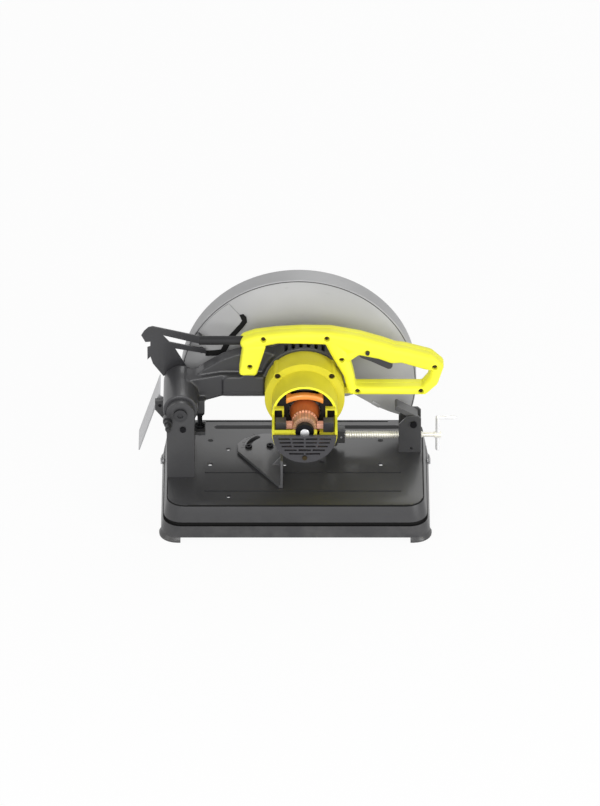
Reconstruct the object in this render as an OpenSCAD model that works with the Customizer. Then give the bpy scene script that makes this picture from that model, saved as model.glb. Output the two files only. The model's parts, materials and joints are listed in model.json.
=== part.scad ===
// Abrasive chop saw with its head locked down and no wheel fitted.
// +X points to the operator, -Y to the motor side, +Z up; the origin is on the bench.

/* [Base] */
// Height of the deck top above the bench
deck_z = 65; // [62:0.5:68]
// Half length of the deck along X
deck_hx = 209; // [207:0.5:212]
// Half depth of the deck along Y
deck_hy = 132; // [130:0.5:136]
// How far the end walls lean out at the bottom
draft_x = 10; // [7:0.5:12]
// How far the side walls lean out at the bottom
draft_y = 8; // [5:0.5:10]
// Corner radius of the deck
corner_r = 30; // [24:1:34]
// Wall and deck thickness of the base
sheet_t = 4; // [3:0.5:5]
// Height of the walls' lower edge
wall_z0 = 8.3; // [7:0.1:10]
// Height of the groove's middle
groove_z = 31.5; // [29:0.5:34]
// Height of the groove
groove_h = 7; // [5:0.5:8]
// Depth of the groove
groove_d = 4.5; // [3:0.5:5]
// Length of a corner foot along each wall
foot_l = 37; // [32:1:42]
// Wheel slot's middle along Y, which is the wheel plane
wheel_y = 108.6; // [108:0.1:109]
// Width of the wheel slot
slot_w = 11; // [9:0.5:12]
// Spacing of the bench bolt holes along X
bench_dx = 279; // [270:1:286]
// Spacing of the bench bolt holes along Y
bench_dy = 72.8; // [70:0.1:75]
// Radius of the bench bolt holes
bench_r = 4.5; // [4:0.1:5.5]

/* [Pivot] */
// Pivot axis along X
pivot_x = -187; // [-188:0.5:-186]
// Pivot axis above the bench
pivot_z = 185.4; // [184:0.2:187]
// Radius of the pivot shaft
pivot_r = 8; // [7:0.5:9]
// Near face of the near ear
ear_y = -47; // [-49:0.5:-46]
// Thickness of the near ear
ear_t = 12; // [10:0.5:13]
// Half width of both ears
ear_hw = 22.5; // [21:0.5:23]
// Radius of the barrel on the arm
barrel_r = 28.3; // [27:0.1:29]
// Length of the barrel
barrel_l = 95.4; // [94:0.2:97]
// Radius of the lock pin
lock_r = 3; // [2.5:0.1:3.5]

/* [Motor and gears] */
// Spindle axis along X
spindle_x = 5; // [4:0.5:6]
// Spindle axis above the bench
spindle_z = 163.4; // [162:0.2:165]
// Gear module
gear_m = 1.6; // [1.55:0.01:1.62]
// Teeth on the pinion
pinion_n = 9; // [9:1:9]
// Teeth on the drive gear
gear_n = 43; // [43:1:43]
// Motor axis to the right of the spindle
motor_dx = 10; // [8:0.5:12]
// Radius of the fan housing
flange_r = 65; // [63:0.5:66]
// Radius of the motor housing
motor_r = 53; // [51:0.5:54]
// Wall of the motor housing
motor_t = 4; // [3:0.5:5]
// Where the housing is cut open
cut_y = -76; // [-80:0.5:-74]
// Front face of the end cap
cap_y = -140; // [-142:0.5:-138]
// Radius of the commutator
comm_r = 19; // [18:0.5:20]
// Radius of the armature core
core_r = 26; // [25:0.5:27]

/* [Guard] */
// Outer radius of the wheel guard
guard_r = 193; // [191:0.5:194]
// Sheet thickness of the guard
guard_t = 2.5; // [2:0.1:3]
// Near face of the guard at its middle
guard_y0 = 68; // [67.5:0.1:68.5]
// Far edge of the guard rim
guard_y1 = 124; // [122:0.5:126]
// Radius of the wheel flanges
wheel_flange_r = 52; // [48:0.5:54]

/* [Handle] */
// Middle plane of the handle along Y
grip_y = 7; // [6:0.5:8]
// Thickness of the handle along Y
grip_t = 34; // [32:0.5:36]
// Rounding of the handle edges
grip_e = 9; // [7:0.5:9]
// Height of the rear end and the cord sleeve
sleeve_z = 294.2; // [293:0.2:295]
// Outer radius of the cord sleeve
sleeve_r = 7.35; // [7:0.05:7.6]

/* [Fence and vise] */
// Fence pivot along X
fence_x = -41.8; // [-43:0.2:-41]
// Fence pivot along Y
fence_y = 40.5; // [39:0.5:42]
// Radius of the fence's arc slot
arc_r = 35; // [33:0.5:36]
// Height of the fence wall above the deck
fence_h = 52; // [46:1:53]
// Radius of the fence bolts
fence_bolt_r = 4; // [3.5:0.1:4.5]
// Screw axis along Y
vise_y = 46; // [45:0.5:47]
// Screw axis above the deck
vise_h = 25; // [24:0.5:26]
// Radius of the vise screw
screw_r = 6; // [5.5:0.1:6.3]
// Jaw face along X
jaw_x = 40; // [38:0.5:42]
// Crank plane beyond the deck's end
crank_x = 23.8; // [22:0.2:27]

/* [Fits] */
// Radial clearance of running shafts
run_c = 0.05; // [0.03:0.01:0.08]
// Gap between pieces that move past each other
gap = 0.4; // [0.3:0.05:0.6]

/* [Hidden] */
$fn = 48;
EPS = 0.02;
ear_y1 = ear_y + ear_t;
barrel_y0 = ear_y1 + gap;
barrel_y1 = barrel_y0 + barrel_l;
far_ear_y = barrel_y1 + gap;
far_ear_t = 10;
gear_c = gear_m * (gear_n + pinion_n) / 2;
motor_dz = sqrt(gear_c * gear_c - motor_dx * motor_dx);
motor_x = spindle_x + motor_dx;
motor_z = spindle_z + motor_dz;
mesh_a = atan2(motor_dz, motor_dx);
bore_r = motor_r - motor_t;
vise_z = deck_z + vise_h;
vise_x1 = deck_hx - 3.6;
vise_x0 = vise_x1 - 36.4;
lever_x = vise_x1 - 12.4;
hub_x = deck_hx + crank_x;
side_bolt = [deck_hx + draft_x * lean(18), 79, 18];
slot_ends = [81 - deck_hx, deck_hx - 43];
bead_ends = [61 - deck_hx, deck_hx - 37];
lever_z = vise_z + 29.6;
lock_x = pivot_x - 19.5;
lock_z = pivot_z - 13.4;
stop_x = pivot_x + 31;
stop_y = 8;
stop_z = pivot_z - 27.4;
bracket_y = far_ear_y + far_ear_t + gap;
case_y0 = 15;
case_y1 = 54;
deflect_x = -222;
deflect_z = 136;
deflect_head_r = 6;
pin_x = jaw_x + 20;
beam_z0 = 182.6;
beam_z1 = 222;
plate_x1 = motor_x - flange_r - 1;
lug_low = [-86, grip_y + 4, beam_z1 - 8];
lug_high = [-66, grip_y + 11, 262];
seat_low = [motor_x + flange_r - 4, grip_y - 8, motor_z - 6];
seat_high = [motor_x + flange_r + 9, case_y0, motor_z + 5];
trigger_x = 110;
trigger_z = 277;
button_x = 117;
button_z = 281;
button_r = 3.4;
low_screw = (motor_r + 5.3) * cos(45);
recess_r = 5;
recess_y = -22;
cap_dash = 21;
cap_rib = 3;
well_r = 4.6;
well_y = grip_y - 9.5;
shank_r = 4;
hub_r = 5.5;
flange_screws_at = [[-44, 42], [44, 42], [-low_screw, -low_screw], [low_screw, -low_screw]];
handle_screws_at = [[-52, 304], [51, 306], [75, 266], [-74, 253], [226, 252], [101, 206], [204, 206]];

// Cylinder along Y between two planes
module rod_y(r, y0, y1, x = 0, z = 0)
    translate([x, y0, z]) rotate([-90, 0, 0]) cylinder(r = r, h = y1 - y0);

// Cylinder along X between two planes
module rod_x(r, x0, x1, y = 0, z = 0)
    translate([x0, y, z]) rotate([0, 90, 0]) cylinder(r = r, h = x1 - x0);

// Cylinder along Z between two heights
module rod_z(r, z0, z1, x = 0, y = 0)
    translate([x, y, z0]) cylinder(r = r, h = z1 - z0);

// Flat outline in X and Z, given thickness along Y
module plate_y(y0, y1)
    translate([0, y1, 0]) rotate([90, 0, 0]) linear_extrude(y1 - y0) children();

// Box between two corners
module box(a, b)
    translate(a) cube(b - a);

// Hexagon head or nut along Z
module hex_z(r, z0, z1, x, y)
    translate([x, y, z0]) cylinder(r = r, h = z1 - z0, $fn = 6);

function rounded(hx, hy, r, n = 6) = [for (q = [0:3], i = [0:n])
    let (a = q * 90 + i * 90 / n,
        cx = (q == 0 || q == 3) ? hx - r : r - hx,
        cy = (q < 2) ? hy - r : r - hy)
    [cx + r * cos(a), cy + r * sin(a)]];

// BASE

function lean(z) = (deck_z - z) / (deck_z - wall_z0);

// Thin slice of the pan at one height, moved inward
module pan_slice(z, inset)
    translate([0, 0, z]) linear_extrude(EPS)
        polygon(rounded(deck_hx + draft_x * lean(z) - inset, deck_hy + draft_y * lean(z) - inset,
            corner_r - inset));

module pan_body(z0, z1, inset)
    hull() {
        pan_slice(z0, inset);
        pan_slice(z1 - EPS, inset);
    }

function foot_at(sx, sy) = [sx * (deck_hx - 16), sy * (deck_hy - 16)];
bench_at = [for (sx = [-1, 1], sy = [-1, 1]) [sx * bench_dx / 2, 30.8 + sy * bench_dy / 2]];
bracket_bolts_at = [for (dx = [-11, 11], y = [-12, 44]) [pivot_x + dx, y]];
vise_bolts_at = [[vise_x0 + 8.5, vise_y], [vise_x1 - 7.9, vise_y]];
clamp_at = [fence_x + arc_r * cos(185), fence_y + arc_r * sin(185)];

module base_pan() color([0.3, 0.3, 0.32]) difference() {
    union() {
        difference() {
            pan_body(wall_z0, deck_z, 0);
            pan_body(wall_z0 - 2, groove_z - groove_h / 2 - sheet_t, sheet_t);
            pan_body(groove_z - groove_h / 2 - sheet_t - 1, groove_z + groove_h / 2 + sheet_t + 1,
                sheet_t + groove_d);
            pan_body(groove_z + groove_h / 2 + sheet_t, deck_z - sheet_t, sheet_t);
            difference() {
                box([-300, -200, groove_z - groove_h / 2], [300, 200, groove_z + groove_h / 2]);
                pan_body(groove_z - groove_h, groove_z + groove_h, groove_d);
            }
        }
        for (sx = [-1, 1], sy = [-1, 1])
            rod_z(10, wall_z0, deck_z - sheet_t + EPS, foot_at(sx, sy)[0], foot_at(sx, sy)[1]);
    }
    for (sx = [-1, 1], sy = [-1, 1])
        rod_z(4, wall_z0 - 1, wall_z0 + 14, foot_at(sx, sy)[0], foot_at(sx, sy)[1]);
    box([slot_ends[0], wheel_y - slot_w / 2, deck_z - 20], [slot_ends[1], wheel_y + slot_w / 2, deck_z + 1]);
    for (x = slot_ends) rod_z(slot_w / 2, deck_z - 20, deck_z + 1, x, wheel_y);
    for (y = [-88.4, -32.4]) box([bead_ends[0], y - 1.6, deck_z - 1.4], [bead_ends[1], y + 1.6, deck_z + 1]);
    box([bead_ends[0], 124.5, deck_z - 1.4], [bead_ends[1] - 20, 127.5, deck_z + 1]);
    for (p = bench_at) rod_z(bench_r, deck_z - 20, deck_z + 1, p[0], p[1]);
    for (p = [[-109, -104], [-17.7, -6.4], [-110, fence_y]])
        rod_z(4, deck_z - 20, deck_z + 1, p[0], p[1]);
    for (p = bracket_bolts_at) rod_z(4, deck_z - 20, deck_z + 1, p[0], p[1]);
    for (p = vise_bolts_at) rod_z(3, deck_z - 20, deck_z + 1, p[0], p[1]);
    for (p = [[fence_x, fence_y], clamp_at]) rod_z(fence_bolt_r, deck_z - 20, deck_z + 1, p[0], p[1]);
    for (s = [-1, 1]) rod_x(3, s * side_bolt[0] - 20, s * side_bolt[0] + 20, side_bolt[1], side_bolt[2]);
}

module base_feet() color([0.2, 0.2, 0.21])
    for (sx = [-1, 1], sy = [-1, 1]) union() {
        intersection() {
            hull() {
                linear_extrude(3) polygon(rounded(deck_hx + draft_x + 3, deck_hy + draft_y + 3, corner_r));
                pan_slice(wall_z0 - EPS, 0);
            }
            translate([sx * (deck_hx + draft_x + 5 - foot_l / 2),
                sy * (deck_hy + draft_y + 5 - foot_l / 2), 20])
                cube([foot_l, foot_l, 80], center = true);
        }
        rod_z(4, wall_z0 - 1, wall_z0 + 13, foot_at(sx, sy)[0], foot_at(sx, sy)[1]);
    }

module base_side_bolts() color([0.55, 0.55, 0.56])
    for (s = [-1, 1]) {
        ends = [s * (side_bolt[0] + 2), s * (side_bolt[0] - 12)];
        rod_x(3, min(ends), max(ends), side_bolt[1], side_bolt[2]);
        translate([s * (side_bolt[0] + 3.1), side_bolt[1], side_bolt[2]]) rotate([0, 90, 0])
            cylinder(r = 6, h = 3.4, $fn = 6, center = true);
    }

// PIVOT

module ear_outline() {
    translate([pivot_x, pivot_z]) circle(ear_hw);
    translate([pivot_x - ear_hw, deck_z]) square([2 * ear_hw, pivot_z - deck_z]);
}

module pivot_bracket() color([0.27, 0.27, 0.29]) difference() {
    union() {
        plate_y(ear_y, ear_y1) {
            ear_outline();
            translate([lock_x, lock_z]) circle(9);
        }
        plate_y(far_ear_y, far_ear_y + far_ear_t) {
            ear_outline();
            polygon([[pivot_x - ear_hw + 1, 100], [pivot_x - ear_hw + 1, 147],
                [deflect_x - 8, deflect_z + 8], [deflect_x - 8, deflect_z - 8]]);
        }
        box([pivot_x - ear_hw + 1, ear_y1 - 1, deck_z], [pivot_x + ear_hw, far_ear_y + 1, deck_z + 6]);
        box([pivot_x + ear_hw - 6, stop_y - 16, deck_z], [pivot_x + ear_hw, stop_y + 16, stop_z - 30]);
        box([pivot_x + ear_hw - 6, stop_y - 16, stop_z - 36], [stop_x + 9, stop_y + 16, stop_z - 30]);
    }
    rod_y(pivot_r, ear_y - 1, far_ear_y + far_ear_t + 1, pivot_x, pivot_z);
    rod_y(lock_r + run_c, ear_y - 1, ear_y1 + 1, lock_x, lock_z);
    rod_y(3, ear_y - 1, ear_y1 + 1, pivot_x + 4, pivot_z - 28);
    rod_y(3, far_ear_y - 1, far_ear_y + far_ear_t + 1, deflect_x, deflect_z);
    rod_z(4, stop_z - 40, stop_z - 20, stop_x, stop_y);
    for (p = bracket_bolts_at) rod_z(4, deck_z - 1, deck_z + 8, p[0], p[1]);
}

module pivot_bracket_bolts() color([0.6, 0.6, 0.62])
    for (p = bracket_bolts_at) {
        rod_z(4, deck_z - 16, deck_z + 7, p[0], p[1]);
        hex_z(7.5, deck_z + 6, deck_z + 11, p[0], p[1]);
    }

module deck_nut(r, x, y) difference() {
    hex_z(r * 1.9, deck_z - sheet_t - r * 1.6, deck_z - sheet_t, x, y);
    rod_z(r, deck_z - 20, deck_z, x, y);
}

module deck_nuts() color([0.6, 0.6, 0.62]) {
    for (p = bracket_bolts_at) deck_nut(4, p[0], p[1]);
    for (p = vise_bolts_at) deck_nut(3, p[0], p[1]);
    for (p = [[fence_x, fence_y], clamp_at]) deck_nut(fence_bolt_r, p[0], p[1]);
}

module pivot_shaft() color([0.45, 0.45, 0.47]) difference() {
    union() {
        rod_y(pivot_r, ear_y - 1, far_ear_y + far_ear_t + 8, pivot_x, pivot_z);
        rod_y(11, ear_y - 5, ear_y, pivot_x, pivot_z);
    }
    translate([pivot_x, ear_y - 6, pivot_z]) rotate([-90, 0, 0]) cylinder(r = 5, h = 4, $fn = 6);
}

module pivot_nut() color([0.6, 0.6, 0.62]) difference() {
    translate([pivot_x, far_ear_y + far_ear_t, pivot_z]) rotate([-90, 0, 0])
        cylinder(r = 13, h = 7, $fn = 6);
    rod_y(pivot_r, far_ear_y, far_ear_y + 30, pivot_x, pivot_z);
}

module bracket_screws() color([0.6, 0.6, 0.62]) {
    rod_y(3, ear_y - 1, ear_y1, pivot_x + 4, pivot_z - 28);
    rod_y(5, ear_y - 3, ear_y, pivot_x + 4, pivot_z - 28);
    rod_y(3, far_ear_y, bracket_y + 4, deflect_x, deflect_z);
    rod_y(deflect_head_r, bracket_y + 2 + gap, bracket_y + 5.6, deflect_x, deflect_z);
}

// Points of one closed ring around the spring wire
function spring_ring(turn) = let (a = 90 + 360 * turn, y = ear_y1 + 2 + 5.4 * turn)
    [for (k = [0:7]) let (b = 45 * k, r = 12.8 + 1.8 * cos(b))
        [pivot_x + r * cos(a), y + 1.8 * sin(b), pivot_z + r * sin(a)]];

module return_spring() color([0.5, 0.5, 0.52]) {
    turns = 6;
    n = turns * 16;
    points = [for (i = [0:n]) each spring_ring(i / 16)];
    sides = [for (i = [0:n - 1], k = [0:7])
        each [[i * 8 + k, i * 8 + (k + 1) % 8, (i + 1) * 8 + k],
            [i * 8 + (k + 1) % 8, (i + 1) * 8 + (k + 1) % 8, (i + 1) * 8 + k]]];
    ends = [[for (k = [7:-1:0]) k], [for (k = [0:7]) n * 8 + k]];
    polyhedron(points, concat(sides, ends));
}

module depth_stop_bolt() color([0.62, 0.62, 0.64]) {
    rod_z(4, stop_z - 44, stop_z - 5, stop_x, stop_y);
    hex_z(7.5, stop_z - 6, stop_z - gap, stop_x, stop_y);
}

module depth_stop_nut() color([0.62, 0.62, 0.64]) difference() {
    hex_z(7.5, stop_z - 30, stop_z - 24, stop_x, stop_y);
    rod_z(4, stop_z - 40, stop_z - 20, stop_x, stop_y);
}

module lock_pin() color([0.16, 0.16, 0.17]) {
    rod_y(lock_r, ear_y - 14, ear_y1 - 1, lock_x, lock_z);
    rod_y(6.8, ear_y - 10, ear_y - gap, lock_x, lock_z);
    rod_y(5, ear_y - 24, ear_y - 9, lock_x, lock_z);
    rod_y(3.3, ear_y - 29, ear_y - 23, lock_x, lock_z);
}

// Strip behind the base, its top folded to a lug on the bracket
module spark_deflector() color([0.74, 0.74, 0.75]) difference() {
    union() {
        plate_y(bracket_y, bracket_y + 2)
            polygon([[deflect_x - 12, deflect_z - 16], [deflect_x + 9, deflect_z - 9],
                [deflect_x + 9, deflect_z + 8], [deflect_x - 2, deflect_z + 14]]);
        plate_y(bracket_y, bracket_y + 62)
            polygon([[deflect_x - 36, deflect_z - 92], [deflect_x - 34, deflect_z - 92],
                [deflect_x + 1, deflect_z + 15], [deflect_x - 1, deflect_z + 15]]);
    }
    rod_y(3 + run_c, bracket_y - 1, bracket_y + 4, deflect_x, deflect_z);
    rod_y(deflect_head_r + 1, bracket_y + 2, bracket_y + 9, deflect_x, deflect_z);
}

// FENCE

module fence() color([0.3, 0.3, 0.32]) {
    z0 = deck_z + gap;
    z1 = z0 + 5;
    wall_x = fence_x + 21.3;
    difference() {
        translate([0, 0, z0]) linear_extrude(5)
            polygon([[wall_x, -80], [wall_x, 80], [wall_x - 34, 80], [wall_x - 63, 66],
                [wall_x - 75, 48], [wall_x - 74, 26], [wall_x - 6, -80]]);
        rod_z(fence_bolt_r + run_c, deck_z, z1 + 1, fence_x, fence_y);
        translate([fence_x, fence_y, z0 - 1]) rotate([0, 0, 126])
            rotate_extrude(angle = 59) translate([arc_r - fence_bolt_r - gap, 0])
                square([2 * fence_bolt_r + 2 * gap, 8]);
        for (a = [126, 185])
            rod_z(fence_bolt_r + gap * 0.8, deck_z, z1 + 1, fence_x + arc_r * cos(a), fence_y + arc_r * sin(a));
    }
    box([wall_x - 4, -80, z0], [wall_x, 80, deck_z + fence_h]);
    for (y = [-15, 66]) plate_y(y - 2, y + 2)
        polygon([[wall_x - 3, z1 - 1], [wall_x - 3, z1 + 15], [wall_x - 18, z1 - 1]]);
}

module fence_bolts() color([0.2, 0.2, 0.21])
    for (p = [[fence_x, fence_y], clamp_at]) difference() {
        union() {
            rod_z(fence_bolt_r, deck_z - 14, deck_z + 7, p[0], p[1]);
            rod_z(fence_bolt_r + 1.8, deck_z + 5 + 2 * gap, deck_z + 8.8, p[0], p[1]);
        }
        translate([p[0], p[1], deck_z + 7]) cylinder(r = 2.6, h = 8, $fn = 6);
    }

// VISE

module vise_bracket() color([0.3, 0.3, 0.32]) difference() {
    x0 = vise_x0;
    x1 = vise_x1;
    z1 = vise_z + 44.5;
    union() {
        for (y = [vise_y - 16, vise_y + 12]) plate_y(y, y + 4)
            polygon([[x0, deck_z], [x1, deck_z], [x1, z1 - 5], [x1 - 5, z1], [x0 + 14, z1], [x0, z1 - 16]]);
        box([x0, vise_y - 16, deck_z], [x1, vise_y + 16, deck_z + 4]);
        box([x0 + 15, vise_y - 13, deck_z + 3], [x1 - 15, vise_y + 13, vise_z - screw_r - gap]);
    }
    rod_y(4, vise_y - 20, vise_y + 20, lever_x, lever_z);
    for (p = vise_bolts_at) rod_z(3, deck_z - 1, deck_z + 6, p[0], p[1]);
    rod_y(2.5, vise_y - 20, vise_y - 10, x1 - 16, deck_z + 8);
}

module vise_bracket_bolts() color([0.6, 0.6, 0.62])
    for (p = vise_bolts_at) {
        rod_z(3, deck_z - 14, deck_z + 5, p[0], p[1]);
        hex_z(5.4, deck_z + 4, deck_z + 8, p[0], p[1]);
    }

module lever_bolt() color([0.6, 0.6, 0.62]) {
    rod_y(4, vise_y - 17, vise_y + 19, lever_x, lever_z);
    rod_y(5.5, vise_y - 20, vise_y - 16, lever_x, lever_z);
    rod_y(5.5, vise_y + 16, vise_y + 19, lever_x, lever_z);
}

// Quick-release lever; its half nut sits over the screw
module vise_lever() color([0.36, 0.36, 0.38]) difference() {
    w = 12 - gap;
    union() {
        rod_y(8, vise_y - w, vise_y + w, lever_x, lever_z);
        intersection() {
            union() {
                rod_y(lever_z - vise_z - screw_r - gap, vise_y - 8, vise_y + 8, lever_x, lever_z);
                for (s = [-1, 1]) rod_y(29, vise_y + s * 9.3 - 2, vise_y + s * 9.3 + 2, lever_x, lever_z);
            }
            box([lever_x - 10, vise_y - w, vise_z - 4], [lever_x + 10, vise_y + w, lever_z]);
        }
        plate_y(vise_y - w, vise_y + w)
            translate([lever_x, lever_z])
                polygon([[-5, 0], [6, 4], [7, 12], [-27, 31.5], [-30.5, 30], [-30.5, 24], [-12, 13], [-8, 8]]);
    }
    rod_y(4 + run_c, vise_y - 20, vise_y + 20, lever_x, lever_z);
}

module vise_screw() color([0.72, 0.72, 0.74]) difference() {
    union() {
        rod_x(5, pin_x + 6, pin_x + 24, vise_y, vise_z);
        rod_x(screw_r, pin_x + 22, vise_x1 + 2, vise_y, vise_z);
        rod_x(shank_r, vise_x1 + 1, hub_x - 5, vise_y, vise_z);
        rod_x(hub_r, hub_x - 6, hub_x + 6, vise_y, vise_z);
    }
    rod_z(3.4, vise_z - 20, vise_z + 20, hub_x, vise_y);
    tip_groove(pin_x + 13);
}

// Ring groove near the screw's tip
module tip_groove(x)
    difference() {
        rod_x(8, x, x + 4, vise_y, vise_z);
        rod_x(3.6, x - 1, x + 5, vise_y, vise_z);
    }

module crank_rod() color([0.78, 0.78, 0.8]) {
    rod_z(3.4, vise_z - 27, vise_z + 33, hub_x, vise_y);
    translate([hub_x, vise_y, vise_z + 33]) sphere(3.4);
    translate([hub_x, vise_y, vise_z - 27]) sphere(3.4);
    rod_x(3.4, hub_x, hub_x + 28, vise_y, vise_z + 33);
    translate([hub_x + 28, vise_y, vise_z + 33]) sphere(3.4);
}

module jaw_yoke() color([0.32, 0.32, 0.34]) difference() {
    union() {
        rod_z(10, vise_z - 11, vise_z + 11, pin_x, vise_y);
        box([pin_x, vise_y - 10, vise_z - 11], [pin_x + 21, vise_y + 10, vise_z + 11]);
    }
    rod_z(4, vise_z - 20, vise_z + 20, pin_x, vise_y);
    rod_x(5 + run_c, pin_x + 5.2, pin_x + 30, vise_y, vise_z);
    rod_y(1.8, vise_y - 12, vise_y, pin_x + 15, vise_z);
}

module jaw_pin() color([0.6, 0.6, 0.62]) {
    rod_z(4, vise_z - 18.5, vise_z + 18.5, pin_x, vise_y);
    rod_y(1.8, vise_y - 10, vise_y - 4, pin_x + 15, vise_z);
}

module vise_jaw() color([0.3, 0.3, 0.32]) difference() {
    union() {
        box([jaw_x, vise_y - 46, deck_z + 1], [jaw_x + 8, vise_y + 42, vise_z + 22]);
        for (s = [-1, 1]) {
            z = vise_z + s * (14.75 + gap);
            rod_z(9, z - 3.4, z + 3.4, pin_x, vise_y);
            box([jaw_x + 7, vise_y - 9, z - 3.4], [pin_x, vise_y + 9, z + 3.4]);
        }
    }
    rod_z(4 + run_c, vise_z - 30, vise_z + 30, pin_x, vise_y);
    for (z = [vise_z - 14, vise_z - 4, vise_z + 6, vise_z + 16])
        box([jaw_x - 1, vise_y - 50, z - 1], [jaw_x + 1, vise_y + 50, z + 1]);
}

// HEAD: ARM AND GEARS

module arm_casting() color([0.29, 0.29, 0.31]) difference() {
    union() {
        rod_y(barrel_r, barrel_y0, barrel_y1, pivot_x, pivot_z);
        hull() {
            rod_y(24, 16, case_y1, pivot_x, pivot_z);
            box([-122, 16, beam_z0], [-118, case_y1, beam_z1]);
        }
        box([-119, 16, beam_z0], [motor_x - 40, case_y1, beam_z1]);
        plate_y(grip_y + grip_t / 2 + 2, 50)
            polygon([[-172, 204], [-150, 226], [-118, 246], [-92, 256], [-52, 262], [-25, 252],
                [-25, 200], [-150, 195]]);
        plate_y(lug_low[1], 20)
            polygon([[-118, beam_z0 + 3], [-118, beam_z1 - 8], [-111, beam_z1 - 1], [plate_x1, beam_z1 - 1],
                [plate_x1, beam_z0 + 3]]);
        rod_y(flange_r - 3, case_y0, case_y1, motor_x, motor_z);
        intersection() {
            rod_y(flange_r + 5, case_y0, case_y1, motor_x, motor_z);
            box([motor_x - 90, 0, motor_z - 6], [motor_x + 50, 90, motor_z + 90]);
        }
        rod_y(42, 20, case_y1, spindle_x, spindle_z);
        box(lug_low, lug_high);
        box([stop_x - 8, stop_y - 8, stop_z], [stop_x + 8, 20, stop_z + 24]);
    }
    rod_y(pivot_r + run_c, barrel_y0 - 1, barrel_y1 + 1, pivot_x, pivot_z);
    rod_y(16.5, barrel_y0 - 1, ear_y1 + 42, pivot_x, pivot_z);
    difference() {
        rod_y(flange_r - 7, case_y0 - 1, 46, motor_x, motor_z);
        rod_y(25, case_y0 - 2, 50, motor_x, motor_z);
        box([motor_x - 90, 0, motor_z - 90], [motor_x + 90, 60, motor_z + 4]);
    }
    for (a = [64, 74.4, 84.8, 95.2, 105.6, 116])
        translate([motor_x, 0, motor_z]) rotate([0, -a, 0]) box([50, 20, -2.6], [80, 42, 2.6]);
    rod_y(16, case_y0 - 1, 26, motor_x, motor_z);
    rod_y(11, 25, 52, motor_x, motor_z);
    rod_y(37.6, 34, case_y1 + 1, spindle_x, spindle_z);
    rod_y(14, 25, 35, spindle_x, spindle_z);
    for (p = flange_screws_at) rod_y(2.5, case_y0 - 1, 30, motor_x + p[0], motor_z + p[1]);
    rod_y(2, grip_y - 20, grip_y + 12, handle_screws_at[3][0], handle_screws_at[3][1]);
}

module gear_cover() color([0.34, 0.34, 0.36]) difference() {
    rod_y(42, case_y1, guard_y0, spindle_x, spindle_z);
    rod_y(20, case_y1 - 1, 66, spindle_x, spindle_z);
    rod_y(15, case_y1 - 1, guard_y0 + 1, spindle_x, spindle_z);
}

function inv_deg(a) = tan(a) * 180 / PI - a;
function tooth_half(r, rb, rp, n) = 90 / n - 0.06 / rp * 180 / PI + inv_deg(acos(rb / rp))
    - inv_deg(acos(min(1, rb / max(r, rb))));

// Involute wheel outline with short teeth, one tooth pointing along turn
module gear_outline(n, turn) {
    rp = gear_m * n / 2;
    rb = rp * cos(25);
    rf = rp - 1.05 * gear_m;
    ra = rp + 0.8 * gear_m;
    rise = [rf, max(rf + 0.02, rb), (rb + rp) / 2 + 0.1, rp, (rp + ra) / 2, ra];
    polygon([for (t = [0:n - 1]) each concat(
        [for (r = rise) let (a = turn + t * 360 / n - tooth_half(r, rb, rp, n)) [r * cos(a), r * sin(a)]],
        [for (k = [5:-1:0]) let (r = rise[k], a = turn + t * 360 / n + tooth_half(r, rb, rp, n))
            [r * cos(a), r * sin(a)]])]);
}

module drive_gear() color([0.5, 0.5, 0.52]) difference() {
    plate_y(36, 50) translate([spindle_x, spindle_z]) gear_outline(gear_n, mesh_a);
    rod_y(9, 30, 60, spindle_x, spindle_z);
}

module pinion() color([0.55, 0.55, 0.57]) difference() {
    plate_y(35, 51) translate([motor_x, motor_z]) gear_outline(pinion_n, mesh_a + 180 + 180 / pinion_n);
    rod_y(3.5, 30, 60, motor_x, motor_z);
}

module spindle() color([0.66, 0.66, 0.68]) difference() {
    union() {
        rod_y(6, 25.5, 36, spindle_x, spindle_z);
        rod_y(9, 35, 67, spindle_x, spindle_z);
        rod_y(13.5, 66.4, 97, spindle_x, spindle_z);
        rod_y(12.7, 96, wheel_y + 1.6, spindle_x, spindle_z);
    }
    rod_y(5, 90, 120, spindle_x, spindle_z);
}

module ball_bearing(ri, ro, y0, y1, x, z) difference() {
    rod_y(ro, y0, y1, x, z);
    rod_y(ri + run_c, y0 - 1, y1 + 1, x, z);
    for (y = [y0 - 1, y1 - 0.8]) difference() {
        rod_y(ro - 2.4, y, y + 1.8, x, z);
        rod_y(ri + 2.2, y - 1, y + 3, x, z);
    }
}

module spindle_bearings() color([0.7, 0.7, 0.72]) {
    ball_bearing(6, 14, 25, 34, spindle_x, spindle_z);
    ball_bearing(9, 20, 54.5, 66, spindle_x, spindle_z);
}

module inner_flange() color([0.45, 0.45, 0.47]) difference() {
    rod_y(wheel_flange_r, 97, wheel_y - 1.6, spindle_x, spindle_z);
    rod_y(12.7, 90, 120, spindle_x, spindle_z);
    difference() {
        rod_y(wheel_flange_r - 9, wheel_y - 3, wheel_y, spindle_x, spindle_z);
        rod_y(20, 90, 120, spindle_x, spindle_z);
    }
}

module outer_flange() color([0.45, 0.45, 0.47]) difference() {
    rod_y(wheel_flange_r, wheel_y + 1.6, 117, spindle_x, spindle_z);
    rod_y(5, 100, 130, spindle_x, spindle_z);
    difference() {
        rod_y(wheel_flange_r - 9, wheel_y, wheel_y + 3, spindle_x, spindle_z);
        rod_y(20, 90, 120, spindle_x, spindle_z);
    }
}

module wheel_bolt() color([0.6, 0.6, 0.62]) {
    rod_y(5, 98, 118, spindle_x, spindle_z);
    rod_y(11, 117, 119, spindle_x, spindle_z);
    translate([spindle_x, 118.5, spindle_z]) rotate([-90, 0, 0]) cylinder(r = 9.2, h = 6.5, $fn = 6);
}

// HEAD: GUARD

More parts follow.
